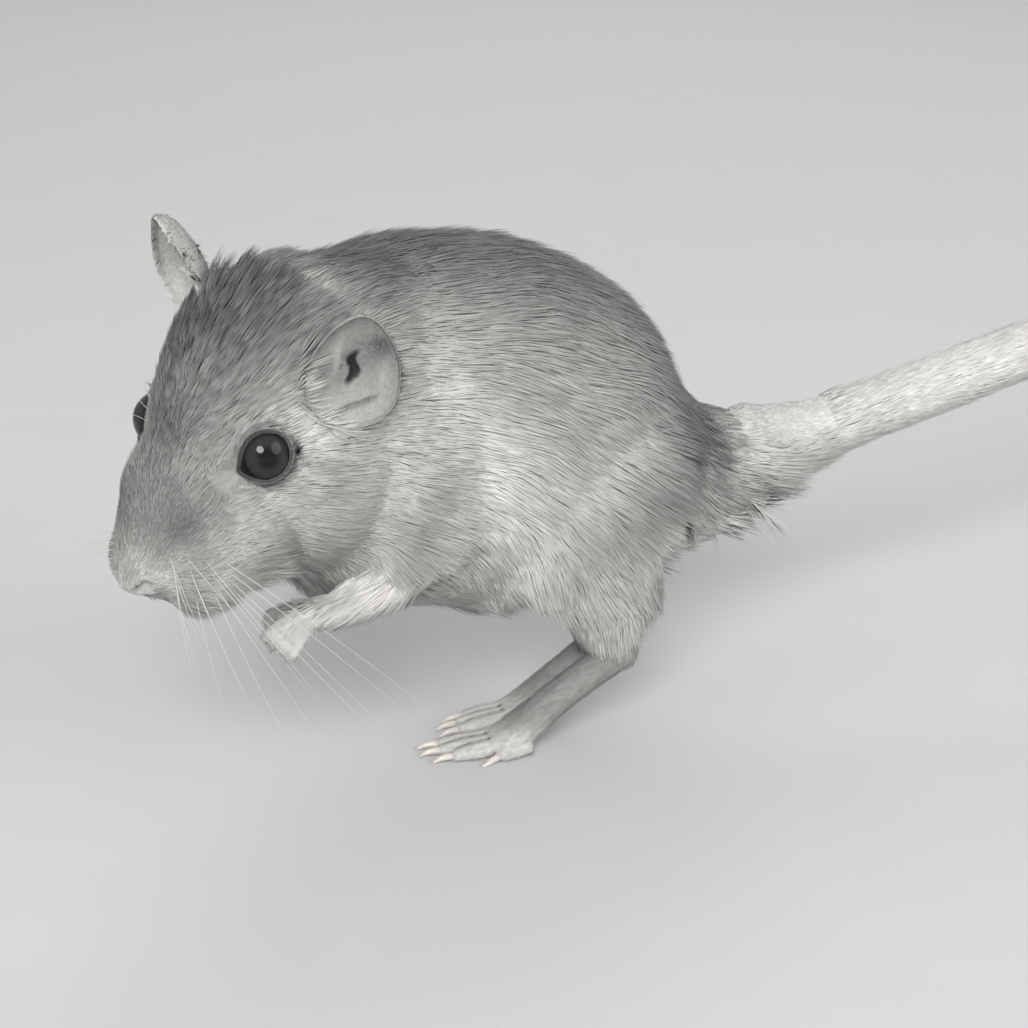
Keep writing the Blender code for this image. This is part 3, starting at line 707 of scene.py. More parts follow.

# %% [markdown]
# ## Building one ear
# The rings run from the middle of the cup to its rim. Bowl, canal, ridge and fold are soft bumps and dips
# of the inner face. Their tone is painted shade in the dips and a painted highlight on the rim and ridges.

# %% One shell
def ear_shell(side, rings=34, sides=84):
    """Points, faces, a mark that is 2 on the inner face, and the ear's tone with painted shade and highlight.
    """
    place, _, _, height, width, deep, point = EARS[side]
    tall, out, across = ear_axes(side)
    middle = in_head(place) + tall * height * EAR_MIDDLE
    turn = np.arange(sides) / sides * math.tau
    shells, tones = [], []
    for wall in (0.0, 1.0):
        for i in range(rings + 1):
            s = i / rings
            bow = math.sin(s * math.pi / 2)
            reach = (1 - 0.2 * np.sin(turn)) * (width / 2 - 0.1 * wall) * bow * np.cos(turn)
            tip = 1 + point * np.maximum(np.sin(turn), 0) ** 6
            rise = (height / 2 - 0.1 * wall) * bow * np.sin(turn) * tip
            depth = (1 - math.cos(s * math.pi / 2)) * deep + 0 * turn
            tone = np.full(sides, 1.0)
            x, y = reach, rise
            canal = bump_at(x + 0.3 * np.sin(2.2 * y), y, 0.1, -0.2, 0.75, 2.2)
            depth = depth - 0.3 * canal
            if wall:
                rim = math.exp(-(((s - 0.95) / 0.035) ** 2))
                bowl = bump_at(x, y, 1.3, 1.0, 2.0, 2.6)
                patch = bump_at(x, y, 2.6, 2.9, 1.1, 1.3)
                ridge = bump_at(x, y, -1.7, 0.2, 0.6, 2.6) + bump_at(x, y, 3.2, -0.6, 0.6, 1.8)
                from_line = y + 5.2 - 0.4 * (x + 1.5) - 0.12 * (x - 1) * np.abs(x - 1)
                fold = np.exp(-((from_line / 0.28) ** 2))
                fold = fold * smoothstep(-2.4, -1.2, x) * smoothstep(3.6, 2.4, x)
                depth = depth + 0.5 - 0.22 * smoothstep(0.8, 1.0, s) + 0.26 * rim
                depth = depth + (0.45 * ridge - 0.35 * bowl - 0.3 * patch - 0.45 * fold) * (1 - s**6)
                groove = math.exp(-(((s - 0.84) / 0.05) ** 2)) * (0.5 + 0.5 * (rise > 0))
                depth = depth - 0.22 * groove
                # Painted shade darkens the bowl, the patch under the rear rim, the fold, the groove and the
                # canal; a painted highlight lightens the rim and the ridges.
                tone = 0.96 - 0.30 * bowl - 0.55 * patch - 0.55 * fold
                tone = tone + 0.30 * rim - 0.26 * groove + 0.2 * ridge
                # The far ear's inner face is painted lighter against the shade it lies in.
                tone = tone * (1 - 0.95 * smoothstep(0.30, 0.62, canal)) * (1.5 if side == RIGHT else 1.0)
            grid = middle + np.outer(reach, across) + np.outer(rise, tall) + np.outer(depth - deep * 0.7, out)
            shells.append(grid)
            tones.append(tone)
    points = np.concatenate(shells)
    size = (rings + 1) * sides
    i, k = np.meshgrid(np.arange(rings), np.arange(sides), indexing="ij")
    a, b = i * sides + k, i * sides + (k + 1) % sides
    quads = [np.stack([a, a + sides, b + sides, b], -1).reshape(-1, 4)]
    quads.append(size + np.stack([a, b, b + sides, a + sides], -1).reshape(-1, 4))
    k = np.arange(sides)
    n = (k + 1) % sides
    last = rings * sides
    quads.append(np.stack([last + k, size + last + k, size + last + n, last + n], -1))
    quads = np.concatenate(quads)
    triangles = np.concatenate([quads[:, [0, 1, 2]], quads[:, [0, 2, 3]]])
    corner = points[triangles]
    areas = np.linalg.norm(np.cross(corner[:, 1] - corner[:, 0], corner[:, 2] - corner[:, 0]), axis=1)
    mark = np.repeat([1.0, 2.0], size)
    return points, triangles[areas > 1e-9], mark, np.concatenate(tones)


ear_parts = {side: ear_shell(side) for side in (LEFT, RIGHT)}
print("points of one ear:", len(ear_parts[LEFT][0]))

# %% [markdown]
# ## One list of all skin
# The body's skin, the feet and the ears stay three objects, but tone and coat are worked out on one joined
# list of points, so that they blend where the pieces meet.

# %% Join the lists
body = (skin_points, triangles_of(skin.data))
pairs = [body, *[(p, f) for p, f, _ in foot_parts], *[ear_parts[s][:2] for s in (LEFT, RIGHT)]]
whole_points, whole_faces = joined(pairs)
sizes = [len(p) for p, _ in pairs]
starts = np.concatenate([[0], np.cumsum(sizes)])
whole_labels = np.zeros(len(whole_points), int)
whole_labels[: sizes[0]] = label(skin_points)
body_names = label_array[whole_labels[: sizes[0]]]
whole_labels[: sizes[0]][np.char.startswith(body_names, "ear")] = label_names.index("head")
for k, (_, _, index) in enumerate(foot_parts):
    whole_labels[starts[1 + k] : starts[2 + k]] = index
ear_mark = np.zeros(len(whole_points))
ear_painted_light_and_shade = np.ones(len(whole_points))
for k, (side, word) in enumerate(((LEFT, "left"), (RIGHT, "right"))):
    span = slice(starts[5 + k], starts[6 + k])
    whole_labels[span] = label_names.index(f"ear_{word}")
    ear_mark[span] = ear_parts[side][2]
    ear_painted_light_and_shade[span] = ear_parts[side][3]
whole = mesh_object("whole", whole_points, whole_faces)
whole_normals = normals_of(whole.data)
whole_edges = edges_of(whole.data)
whole_coat = spread(coat_fields(whole_points, whole_labels), whole_edges, 10)
print("all skin:", len(whole_points), "points,", len(whole_faces), "triangles")

# %% [markdown]
# ## Markings
# One formula gives the tone of the coat anywhere. The crown and back are dark with ticked guard hair and
# partly with painted shade, the flank is lighter, and the belly, tail, feet, nose and the ring behind the eye
# are palest, the belly partly by painted light.

# %% Tone of the coat
def both_sides(place):
    """A place on the left of the head and its mirror image on the right."""
    found = to_head(np.asarray(place)[None])[0]
    return [in_head(found), in_head(found * (1, -1, 1))]


# Greys of the regions. Those that begin with a sign are added where the words say.
FLANK, FLANK_LIMIT = 0.345, 0.58
UPPER_SIDE, DARK_BACK_AND_PAINTED_SHADE, BACK_BEHIND, RUMP_END = -0.05, -0.16, 0.06, -0.12
PALE_BELLY_AND_PAINTED_LIGHT, CHEST, THIGH = 0.46, 0.36, 0.05
FACE, DARK_CROWN_AND_PAINTED_SHADE = 0.43, -0.32
FORELEG, FOREPAW, EAR = 0.54, 0.56, 0.30
FOOT, TOES = 0.24, 0.24
TAIL_ROOT, TAIL_LENGTH, TAIL_BRUSH = 0.44, 0.14, -0.20
# Small spots: where each shows in the picture, its size in millimetres, and what it adds to the tone.
SPOTS = {
    "pale ring behind the eye": (312, 438, 3.2, 0.23),
    "pale skin over the eye": (262, 420, 2.4, 0.06),
    "dark whisker pad": (192, 532, 2.4, -0.14),
    # Painted shadow: the ear's front rim casts shade on the head fur before and above it.
    "painted shadow of the ear's front rim": (325, 372, 2.2, -0.12),
    "painted shadow above the ear's front rim": (330, 318, 3.2, -0.10),
    "pale nose": (135, 566, 2.8, 0.05),
    "pale upper lip": (160, 585, 2.0, 0.08),
    "shade under the cheek": (285, 580, 3.0, -0.06),
    # Painted light: the hollow between shoulder and thigh is lightened against its shade.
    "painted light in the shaded hollow behind the shoulder": (440, 475, 7.0, 0.12),
    "pale side of the neck": (420, 385, 5.5, 0.08),
    "dark side of the rump": (683, 450, 5.5, -0.17),
    "dark rear of the thigh": (690, 540, 4.5, -0.14),
    "dark brow": (170, 430, 3.0, -0.05),
    "pale jaw": (200, 585, 3.0, 0.05),
    "pale chest": (380, 570, 5.0, 0.09),
    "pale belly with painted light in its shade": (460, 585, 5.0, 0.07),
    "pale pad of the nose": (135, 570, 2.5, 0.03),
    "thigh a little darker": (575, 540, 7.0, -0.04),
}

# %% [markdown]
# ## From greys to tones
# The direction that the skin faces decides most: what faces up is dark and what faces down is pale. This is
# partly the animal's own colour and partly painted shade and painted light.

# %% Tone of each region
def tone_of(points, normals, labels):
    """The grey of each region of skin and coat. A faint warm cast is added later."""
    x, z = points[:, 0], points[:, 2]
    up = normals[:, 2]
    names = label_array[labels]
    kind = {word: np.char.startswith(names, word) for word in ("hind_leg", "hind_foot", "tail", "ear")}
    body = np.full(len(points), FLANK)
    # Upward-facing skin is darker: partly the real dark back, partly painted shade against the light from
    # above.
    body += UPPER_SIDE * smoothstep(0.05, 0.5, up)
    body += (DARK_BACK_AND_PAINTED_SHADE + BACK_BEHIND * smoothstep(-5, 20, x)) * smoothstep(0.45, 0.95, up)
    rear = smoothstep(9, 25, x) * smoothstep(46, 32, x) * smoothstep(16, 28, z)
    body += RUMP_END * smoothstep(0.1, 0.8, normals[:, 0]) * rear
    # Painted light: the downward-facing belly is lightened beyond its own pale colour against the shade it
    # lies in.
    body += PALE_BELLY_AND_PAINTED_LIGHT * smoothstep(0.0, -0.7, up)
    body += CHEST * smoothstep(8, -12, x) * smoothstep(0.35, -0.1, up)
    tone = np.minimum(body + THIGH * kind["hind_leg"], FLANK_LIMIT)
    ahead = to_head(points)[:, 0]
    brow_way = unit(HEAD[2] + 0.35 * HEAD[0])
    # The crown is darker where it faces up and forward: partly its own dark colour, partly painted shade
    # against the light from above.
    crown = smoothstep(0.25, 0.85, normals @ brow_way) * (0.66 + 0.34 * smoothstep(4, -6, ahead))
    tone = np.where(names == "head", FACE + DARK_CROWN_AND_PAINTED_SHADE * crown, tone)
    tone = np.where(np.char.startswith(names, "foreleg"), FORELEG, tone)
    tone = np.where(kind["hind_foot"], FOOT + TOES * smoothstep(5.0, 2.2, z), tone)
    tone = np.where(np.char.startswith(names, "forepaw"), FOREPAW, tone)
    leaving = smoothstep(28, 35, x) * (kind["tail"] | (names == "torso"))
    tail_tone = TAIL_ROOT + TAIL_LENGTH * smoothstep(36, 60, x) + TAIL_BRUSH * smoothstep(72, 112, x)
    tone = tone * (1 - leaving) + tail_tone * leaving
    return np.where(kind["ear"], EAR, tone)


def spots_of(points):
    """Changes of tone at small places of the face and flank, the same on both sides: markings, painted
    shadows and painted light.
    """
    change = np.zeros(len(points))
    for x, y, size, amount in SPOTS.values():
        for place in both_sides(seen_at(x, y)):
            change += amount * near(points, place, size)
    change += 0.04 * near(points, nose_tip, 3.0)
    return change + 0.02 * wave(points, 9.0, 21) + 0.012 * wave(points, 3.0, 22)

# %% [markdown]
# ## Painting the skin
# The tone is stored on the meshes. Lid margins are darker, and mouth, nostrils and the gaps between toes are
# darkened as painted shade in their dips.

# %% Paint the skin
def colour_of(tone):
    """A near-neutral grey with a faint warm cast."""
    return np.stack([tone * 1.02, tone, tone * 0.965, np.ones_like(tone)], 1)


def paint(obj, tone):
    """Stores the tone on the mesh, where the materials read it."""
    attribute = obj.data.color_attributes.new("tone", "FLOAT_COLOR", "POINT")
    attribute.data.foreach_set("color", colour_of(tone).astype(np.float32).ravel())


whole_tone = spread(tone_of(whole_points, whole_normals, whole_labels), whole_edges, 24)
# The ears' painted shade and highlight are multiplied into the tone here.
whole_tone = np.clip(whole_tone + spots_of(whole_points), 0.05, 0.85) * ear_painted_light_and_shade
bare_tone = whole_tone * 0.92
for side in (LEFT, RIGHT):
    distance, theta, phi = eye_angles(whole_points, side)
    round_eye = distance < 6.0
    dark = round_eye * (1 - smoothstep(3.0, 7.0, theta - opening(phi)))
    bare_tone = bare_tone * (1 - 0.85 * dark)
# Painted shade in the crease of the mouth and in the nostrils.
mouth_dark = np.exp(-((distance_to_line(whole_points, mouth) / 0.4) ** 2))
bare_tone *= 1 - 0.8 * mouth_dark
for side in (LEFT, RIGHT):
    bare_tone *= 1 - 0.8 * near(whole_points, on_skin(NOSTRIL * (1, side, 1)), 0.6)
# Painted shade: dips of the feet, most of all the gaps between the toes, are darkened.
blurred = spread(whole_points, whole_edges, 8)
hollow = ((blurred - whole_points) * whole_normals).sum(1)
on_foot = np.isin(label_array[whole_labels], foot_names)
bare_tone *= 1 - 0.85 * smoothstep(0.015, 0.10, hollow) * on_foot
print("tone from", round(float(whole_tone.min()), 2), "to", round(float(whole_tone.max()), 2))

# %% [markdown]
# ## Skin, feet and ears
# The joined list is cut back into three objects, which now carry their tone. Each stands for other solids.

# %% Split the lists into pieces
pieces_of_skin = {}
for name, first, last in (("skin", 0, 1), ("feet", 1, 5), ("ears", 5, 7)):
    part_points, part_faces = joined(pairs[first:last])
    piece = mesh_object(name + "_piece", part_points, part_faces)
    paint(piece, bare_tone[starts[first] : starts[last]])
    pieces_of_skin[name] = piece
bpy.data.objects.remove(skin, do_unlink=True)
for name, piece in pieces_of_skin.items():
    piece.name = name
    print(name, len(piece.data.polygons), "triangles")

# %% [markdown]
# ## An unwrap of the skin
# A lighter copy of the skin is unwrapped, and each tuft later takes its patch from the place of its root.

# %% Unwrap
GUIDE_TRIANGLES = 14000
guide = whole
guide.name = "unwrap guide"
thin = guide.modifiers.new("thin", "DECIMATE")
thin.ratio = GUIDE_TRIANGLES / len(whole_faces)
freeze(guide)
bpy.context.view_layer.objects.active = guide
for obj in bpy.context.selected_objects:
    obj.select_set(False)
guide.select_set(True)
bpy.ops.object.mode_set(mode="EDIT")
bpy.ops.mesh.select_all(action="SELECT")
bpy.ops.uv.smart_project(angle_limit=math.radians(66), island_margin=0.004)
bpy.ops.object.mode_set(mode="OBJECT")
guide_points = points_of(guide.data)
guide_tris = triangles_of(guide.data)
loops = np.empty(len(guide.data.loop_triangles) * 3, np.int32)
guide.data.loop_triangles.foreach_get("loops", loops)
uv = np.empty(len(guide.data.loops) * 2, np.float32)
guide.data.uv_layers.active.data.foreach_get("uv", uv)
guide_uv = uv.reshape(-1, 2)[loops.reshape(-1, 3)]
guide_tree = BVHTree.FromPolygons(guide_points.tolist(), guide_tris.tolist())
bpy.data.objects.remove(guide, do_unlink=True)
print("unwrapped guide:", len(guide_tris), "triangles")


def unwrap_at(points):
    """The unwrap's coordinates at the nearest place of the skin."""
    hits = [guide_tree.find_nearest(p) for p in points.tolist()]
    index = np.array([h[2] for h in hits])
    place = np.array([h[0] for h in hits])
    a, b, c = (guide_points[guide_tris[index, k]] for k in range(3))
    n = np.cross(b - a, c - a)
    area = np.maximum((n * n).sum(1), 1e-18)
    u = (np.cross(c - b, place - b) * n).sum(1) / area
    v = (np.cross(a - c, place - c) * n).sum(1) / area
    w = 1 - u - v
    corners = guide_uv[index]
    return corners[:, 0] * u[:, None] + corners[:, 1] * v[:, None] + corners[:, 2] * w[:, None]


# %% [markdown]
# ## The lie of the coat
# A few named guides say which way the hair runs. Every root blends the nearest guides and keeps what lies
# along the skin. The guides are short lists of a place and a direction.

# %% Lie of the coat
HEAD_GUIDES = [
    ((16, 0, -4), (-1, 0, 0.3)),
    ((15, 3, -8), (-0.6, 0.8, -0.2)),
    ((8, 5, -9), (-0.75, 0.45, -0.45)),
    ((9, 3, 0), (-1, 0.1, 0.25)),
    ((2, 7, -8), (-0.9, 0.2, -0.35)),
    ((2, 0, 7), (-1, 0, 0.1)),
    ((2, 6, 4), (-1, 0.25, 0.1)),
    ((-7, 10, -2), (-0.95, 0.1, -0.1)),
    ((-6, 10, -12), (-0.9, 0.0, -0.4)),
    ((-10, 4, 11), (-1, 0.05, -0.1)),
    ((4, 3, -15), (-1, 0.1, -0.1)),
    ((-8, 4, -19), (-0.95, 0, -0.1)),
]
BODY_GUIDES = [
    ((-26, -13, 65), (0.75, 0.35, 0.05)),
    ((-5, -3, 64), (1, 0.12, -0.08)),
    ((12, 0, 58), (0.93, 0.03, -0.34)),
    ((26, 0, 46), (0.75, 0, -0.6)),
    ((37, 0, 36), (1, 0, 0.0)),
    ((-22, -27, 48), (0.92, 0.15, -0.25)),
    ((-14, -25, 40), (0.85, 0.0, -0.5)),
    ((2, -22, 48), (0.93, 0.0, -0.33)),
    ((8, -21, 36), (0.75, 0, -0.62)),
    ((18, -18, 38), (0.72, 0.05, -0.66)),
    ((12, -19, 24), (0.45, 0, -0.88)),
    ((3, -17, 26), (0.35, 0, -0.92)),
    ((25, -10, 27), (0.72, 0.0, -0.66)),
    ((34, -3, 27), (0.92, 0.0, -0.32)),
    ((16, -13, 15), (0.15, 0, -0.98)),
    ((-6, -4, 18), (0.85, 0, -0.35)),
    ((-20, -14, 30), (0.5, 0.1, -0.8)),
]


def mirrored(rows, origin=0.0):
    """The guides of the left side and their mirror images."""
    both = [(np.array(p, float), np.array(d, float)) for p, d in rows]
    for p, d in list(both):
        if abs(p[1] - origin) > 1e-6:
            both.append((p * (1, -1, 1) + (0, 2 * origin, 0), d * (1, -1, 1)))
    return both


guides = [(in_head(p), d @ HEAD) for p, d in mirrored(HEAD_GUIDES)]
guides += mirrored(BODY_GUIDES, -2.0)
guide_places = np.array([p for p, _ in guides])
guide_ways = unit(np.array([d for _, d in guides]))
FOREARM = unit(np.array([-0.85, -0.25, -0.45]))
tail_along = unit(np.gradient(tail_line, axis=0))
print("guides:", len(guides))

# %% [markdown]
# ## Direction at each root
# Tail, legs and ears have directions of their own. Round the eye the hair turns aside, as it does in life.

# %% Direction at each root
def lie_of(points, normals, labels, inner):
    """The direction of the hair along the skin."""
    way = np.zeros_like(points)
    total = np.zeros(len(points))
    for place, direction in zip(guide_places, guide_ways):
        weight = 1 / (((points - place) ** 2).sum(1) + 9.0) ** 2
        way += weight[:, None] * direction
        total += weight
    way /= total[:, None]
    names = label_array[labels]
    tail = np.char.startswith(names, "tail")
    nearest = np.abs(points[tail, 0][:, None] - tail_line[None, :, 0]).argmin(1)
    way[tail] = tail_along[nearest]
    nearest = np.abs(points[:, 0][:, None] - tail_line[None, ::4, 0]).argmin(1)
    rear = (smoothstep(31, 37, points[:, 0]) * (names == "torso"))[:, None]
    way = way * (1 - rear) + tail_along[::4][nearest] * rear
    arm = np.char.startswith(names, "foreleg")
    way[arm] = FOREARM
    foot = np.char.startswith(names, "hind_foot")
    way[foot] = (-0.93, 0, -0.36)
    way[foot & (points[:, 2] > 12)] = (-0.3, 0, -0.9)
    for side, word in ((LEFT, "left"), (RIGHT, "right")):
        tall, out, across = ear_axes(side)
        on_ear = names == f"ear_{word}"
        way[on_ear] = tall
        way[on_ear & inner] = tall * 0.35 + across * 0.9
        way[names == f"forepaw_{word}"] = unit(PAWS[side][0])
    swirl = np.stack([wave(points, 9.0, k) for k in (1, 2, 3)], 1) * 0.30
    swirl += np.stack([wave(points, 3.2, k) for k in (4, 5, 6)], 1) * 0.22
    calm = tail | foot | arm | np.char.startswith(names, "ear")
    way = way + swirl * np.where(calm, 0.5, 1.0)[:, None]
    for side in (LEFT, RIGHT):
        distance, theta, phi = eye_angles(points, side)
        beyond = np.where(distance < 8, theta - opening(phi), 90)
        away = unit(points - eye_centres[side])
        away = unit(away - normals * (away * normals).sum(1)[:, None])
        towards = np.minimum((way * away).sum(1), 0) * smoothstep(32, 6, beyond)
        way = way - away * (towards * 1.25)[:, None]
    way -= normals * (way * normals).sum(1)[:, None]
    return unit(way)


# %% [markdown]
# ## Planting the tufts
# Roots are scattered over the skin by area and density. Neighbouring tufts bend a little towards one shared
# tip, so that the coat parts into small clumps, most of all on the crown and the rump.

chance = np.random.default_rng(SEED)
tri_points = whole_points[whole_faces]
tri_sides = np.cross(tri_points[:, 1] - tri_points[:, 0], tri_points[:, 2] - tri_points[:, 0])
tri_area = 0.5 * np.linalg.norm(tri_sides, axis=1)
density = whole_coat[:, 1].copy()
inner_ear = ear_mark > 1.5
density[inner_ear] *= 0.6
names = label_array[whole_labels]
for side, word in ((LEFT, "left"), (RIGHT, "right")):
    tall, out, across = ear_axes(side)
    from_ear = whole_points - (in_head(EARS[side][0]) + tall * EARS[side][3] * EAR_MIDDLE)
    x, y, z = from_ear @ across, from_ear @ tall, from_ear @ out
    disc = (x / (EARS[side][4] / 2)) ** 2 + (y / (EARS[side][3] / 2)) ** 2
    density[(disc < 0.85) & (z < 1.5) & (z > -7) & (ear_mark == 0)] = 0
    front_hair = inner_ear & (names == f"ear_{word}") & (x > -3.2) & (x < -1.0) & (np.abs(y - 0.3) < 2.4)
    density[front_hair] = 7.0
for side in (LEFT, RIGHT):
    distance, theta, phi = eye_angles(whole_points, side)
    density[(distance < 5.0) & (theta < opening(phi) + 3.0)] = 0
density *= np.where(np.linalg.norm(whole_points - nose_tip, axis=1) < 1.3, 0.2, 1.0)
density *= 1 - 0.95 * mouth_dark
density[whole_points[:, 2] < 0.3] = 0
share = tri_area * density[whole_faces].min(1)
count = int(TUFTS * (1.0))
print("tufts wanted by density:", int(share.sum()), "made:", count)
picked = chance.choice(len(share), size=count, p=share / share.sum())
picked.sort()
r1, r2 = np.sqrt(chance.random(count)), chance.random(count)
bary = np.stack([1 - r1, r1 * (1 - r2), r1 * r2], 1)[:, :, None]
corners = whole_faces[picked]
roots = (tri_points[picked] * bary).sum(1)
normals = unit((whole_normals[corners] * bary).sum(1))
fields = (whole_coat[corners] * bary).sum(1)
tones = (whole_tone[corners] * bary[:, :, 0]).sum(1)
labels = whole_labels[corners[:, 0]]
inner = inner_ear[corners[:, 0]]
lie = lie_of(roots, normals, labels, inner)

# %% [markdown]
# ## Length, lift and clumps
# Hair gets shorter towards the lids and over the root of the tail. Each tuft leans from the skin by its lift,
# and then bends to the tip of the leader of its clump. Some hairs of the back have dark tips.

# %% Clumps
# A clump has this many tufts, and a leader further off than the reach has no pull.
CLUMP_TUFTS, CLUMP_REACH = 14, 2.5
TICKED_SHARE = 0.28
names = label_array[labels]
crown = np.clip(near(roots, in_head((-8, 0, 10)), 13) * 1.3, 0, 1)
ruffle = np.maximum(crown, near(roots, np.array([33, 0, 28]), 11))
length = fields[:, 2] * chance.uniform(0.7, 1.2, count)
length[inner] *= 1.3
fields[inner, 3] *= 0.8
tones[inner] *= 1.15
for side in (LEFT, RIGHT):
    distance, theta, phi = eye_angles(roots, side)
    beyond = np.where(distance < 8, theta - opening(phi), 90)
    length *= 0.35 + 0.65 * smoothstep(0, 26, beyond)
    fields[:, 3] *= 0.5 + 0.5 * smoothstep(0, 20, beyond)
    fields[:, 4] *= 0.4 + 0.6 * smoothstep(0, 20, beyond)
root_mark = smoothstep(31, 36, roots[:, 0]) * smoothstep(0.0, 0.5, normals[:, 2]) * (roots[:, 0] < 48)
length *= 1 - 0.6 * root_mark
fields[:, 4] *= 1 - 0.9 * root_mark
lift = np.radians(fields[:, 4] * chance.uniform(0.5, 1.5, count))
out = lie * np.cos(lift)[:, None] + normals * np.sin(lift)[:, None]
tips = roots + out * length[:, None]
leaders = np.sort(chance.choice(count, size=count // CLUMP_TUFTS, replace=False))
tree = KDTree(len(leaders))
for i, k in enumerate(leaders):
    tree.insert(roots[k], i)
tree.balance()
leader = leaders[np.array([tree.find(p)[1] for p in roots.tolist()])]
pull = (chance.uniform(0.05, 0.35, count) + 0.35 * ruffle)[:, None]
pull[np.linalg.norm(roots - roots[leader], axis=1) > CLUMP_REACH] = 0
tips = tips * (1 - pull) + (tips[leader] + (roots - roots[leader]) * 0.25) * pull
clump_shade = chance.normal(0, 1, count)[leader]
on_back = smoothstep(0.0, 0.8, normals[:, 2]) * ~inner * ~np.char.startswith(names, "tail")
ticked = (chance.random(count) < TICKED_SHARE) * on_back
print("clumps:", len(leaders))

# %% [markdown]
# ## Tufts as solid mesh
# A tuft is a closed flat spike with five points and six triangles: a root, a ring of three, and a tip. So
# few faces allow a fine coat of many tufts. Its normals lean towards the skin's, which shades it softly.

# %% Tuft meshes
PATCH = 0.0015


def spikes(roots, tips, normals, width):
    """Points and faces of many bent spikes."""
    along = tips - roots
    size = np.linalg.norm(along, axis=1)[:, None]
    way = along / np.maximum(size, 1e-9)
    side = unit(np.cross(way, normals))
    top = np.cross(side, way)
    middle = roots + along * 0.42 + top * size * 0.07
    points = np.empty((len(roots), 5, 3))
    points[:, 0] = roots - normals * 0.12
    for k in range(3):
        turn = math.tau * k / 3 + math.pi / 2
        ring = side * math.cos(turn) + top * math.sin(turn) * 0.4
        points[:, 1 + k] = middle + ring * width[:, None] * 0.58
    points[:, 4] = tips
    face = []
    for k in range(3):
        n = (k + 1) % 3
        face += [(0, 1 + k, 1 + n), (1 + n, 1 + k, 4)]
    faces = (np.arange(len(roots)) * 5)[:, None, None] + np.array(face)[None]
    return points.reshape(-1, 3), faces.reshape(-1, 3)


def coat_piece(name, pick, material):
    """One joined mesh of tufts with tone and unwrap."""
    points, faces = spikes(roots[pick], tips[pick], normals[pick], fields[pick, 3])
    points[:, 2] = np.maximum(points[:, 2], ABOVE_FLOOR)
    obj = mesh_object(name, points, faces)
    own = normals_of(obj.data).reshape(-1, 5, 3)
    soft = unit(own * 0.35 + normals[pick][:, None] * 0.75)
    obj.data.normals_split_custom_set_from_vertices(soft.reshape(-1, 3).tolist())
    of_clump = (0.05 + 0.13 * crown[pick]) * clump_shade[pick]
    shade = tones[pick] * (1 + of_clump + 0.04 * chance.normal(0, 1, len(pick)))
    shade = np.clip(shade, 0.04, 0.9)
    tip_shade = 1.04 - 0.4 * ticked[pick]
    tone = np.stack([shade * 0.78, shade, shade, shade, shade * tip_shade], 1).reshape(-1)
    paint(obj, tone)
    patch = np.array([(math.cos(a), math.sin(a)) for a in (0.3, 2.4, 4.5)])
    offsets = np.concatenate([[(0, 0)], patch, [(0, 0)]]) * PATCH
    place = unwrap_at(roots[pick])[:, None] + offsets[None]
    layer = obj.data.uv_layers.new(name="OFBake")
    layer.data.foreach_set("uv", place.reshape(-1, 2)[faces.ravel()].astype(np.float32).ravel())
    obj.data.materials.append(material)
    return obj


# %% [markdown]
# ## Finishes
# Every finish breaks up its colour, the painted tone or a plain one, with fine noise in one shared node
# group.
# The group gives a mottled colour and a height for bump, and each material sets its own scale and strength.

# %% Mottle group
def mottle_group():
    """Inputs: colour, scale and amount. Outputs: the mottled colour and a height."""
    tree = bpy.data.node_groups.new("fine mottle", "ShaderNodeTree")
    for name in ("Colour", "Scale", "Amount"):
        kind = "NodeSocketColor" if name == "Colour" else "NodeSocketFloat"
        tree.interface.new_socket(name, in_out="INPUT", socket_type=kind)
    for name, kind in (("Colour", "NodeSocketColor"), ("Height", "NodeSocketFloat")):
        tree.interface.new_socket(name, in_out="OUTPUT", socket_type=kind)
    make = tree.nodes.new
    start, end = make("NodeGroupInput"), make("NodeGroupOutput")
    place = make("ShaderNodeTexCoord")
    noise = make("ShaderNodeTexNoise")
    noise.inputs["Detail"].default_value = 3.0
    centred = make("ShaderNodeMath")
    centred.operation = "SUBTRACT"
    centred.inputs[1].default_value = 0.5
    factor = make("ShaderNodeMath")
    factor.operation = "MULTIPLY_ADD"
    factor.inputs[2].default_value = 1.0
    times = make("ShaderNodeVectorMath")
    times.operation = "SCALE"
    link = tree.links.new
    link(place.outputs["Object"], noise.inputs["Vector"])
    link(start.outputs["Scale"], noise.inputs["Scale"])
    link(noise.outputs["Fac"], centred.inputs[0])
    link(centred.outputs[0], factor.inputs[0])
    link(start.outputs["Amount"], factor.inputs[1])
    link(start.outputs["Colour"], times.inputs[0])
    link(factor.outputs[0], times.inputs["Scale"])
    link(times.outputs["Vector"], end.inputs["Colour"])
    link(noise.outputs["Fac"], end.inputs["Height"])
    return tree


mottle = mottle_group()
print("nodes in the mottle:", len(mottle.nodes))

# %% [markdown]
# ## Materials
# All of them share the mottle. Hair is soft and hardly shines, bare skin shines a little more, and horn most.

# %% Materials
def principled(name, **values):
    made = bpy.data.materials.new(name)
    made.use_nodes = True
    shader = made.node_tree.nodes["Principled BSDF"]
    for key, value in values.items():
        shader.inputs[key.replace("_", " ")].default_value = value
    return made, shader


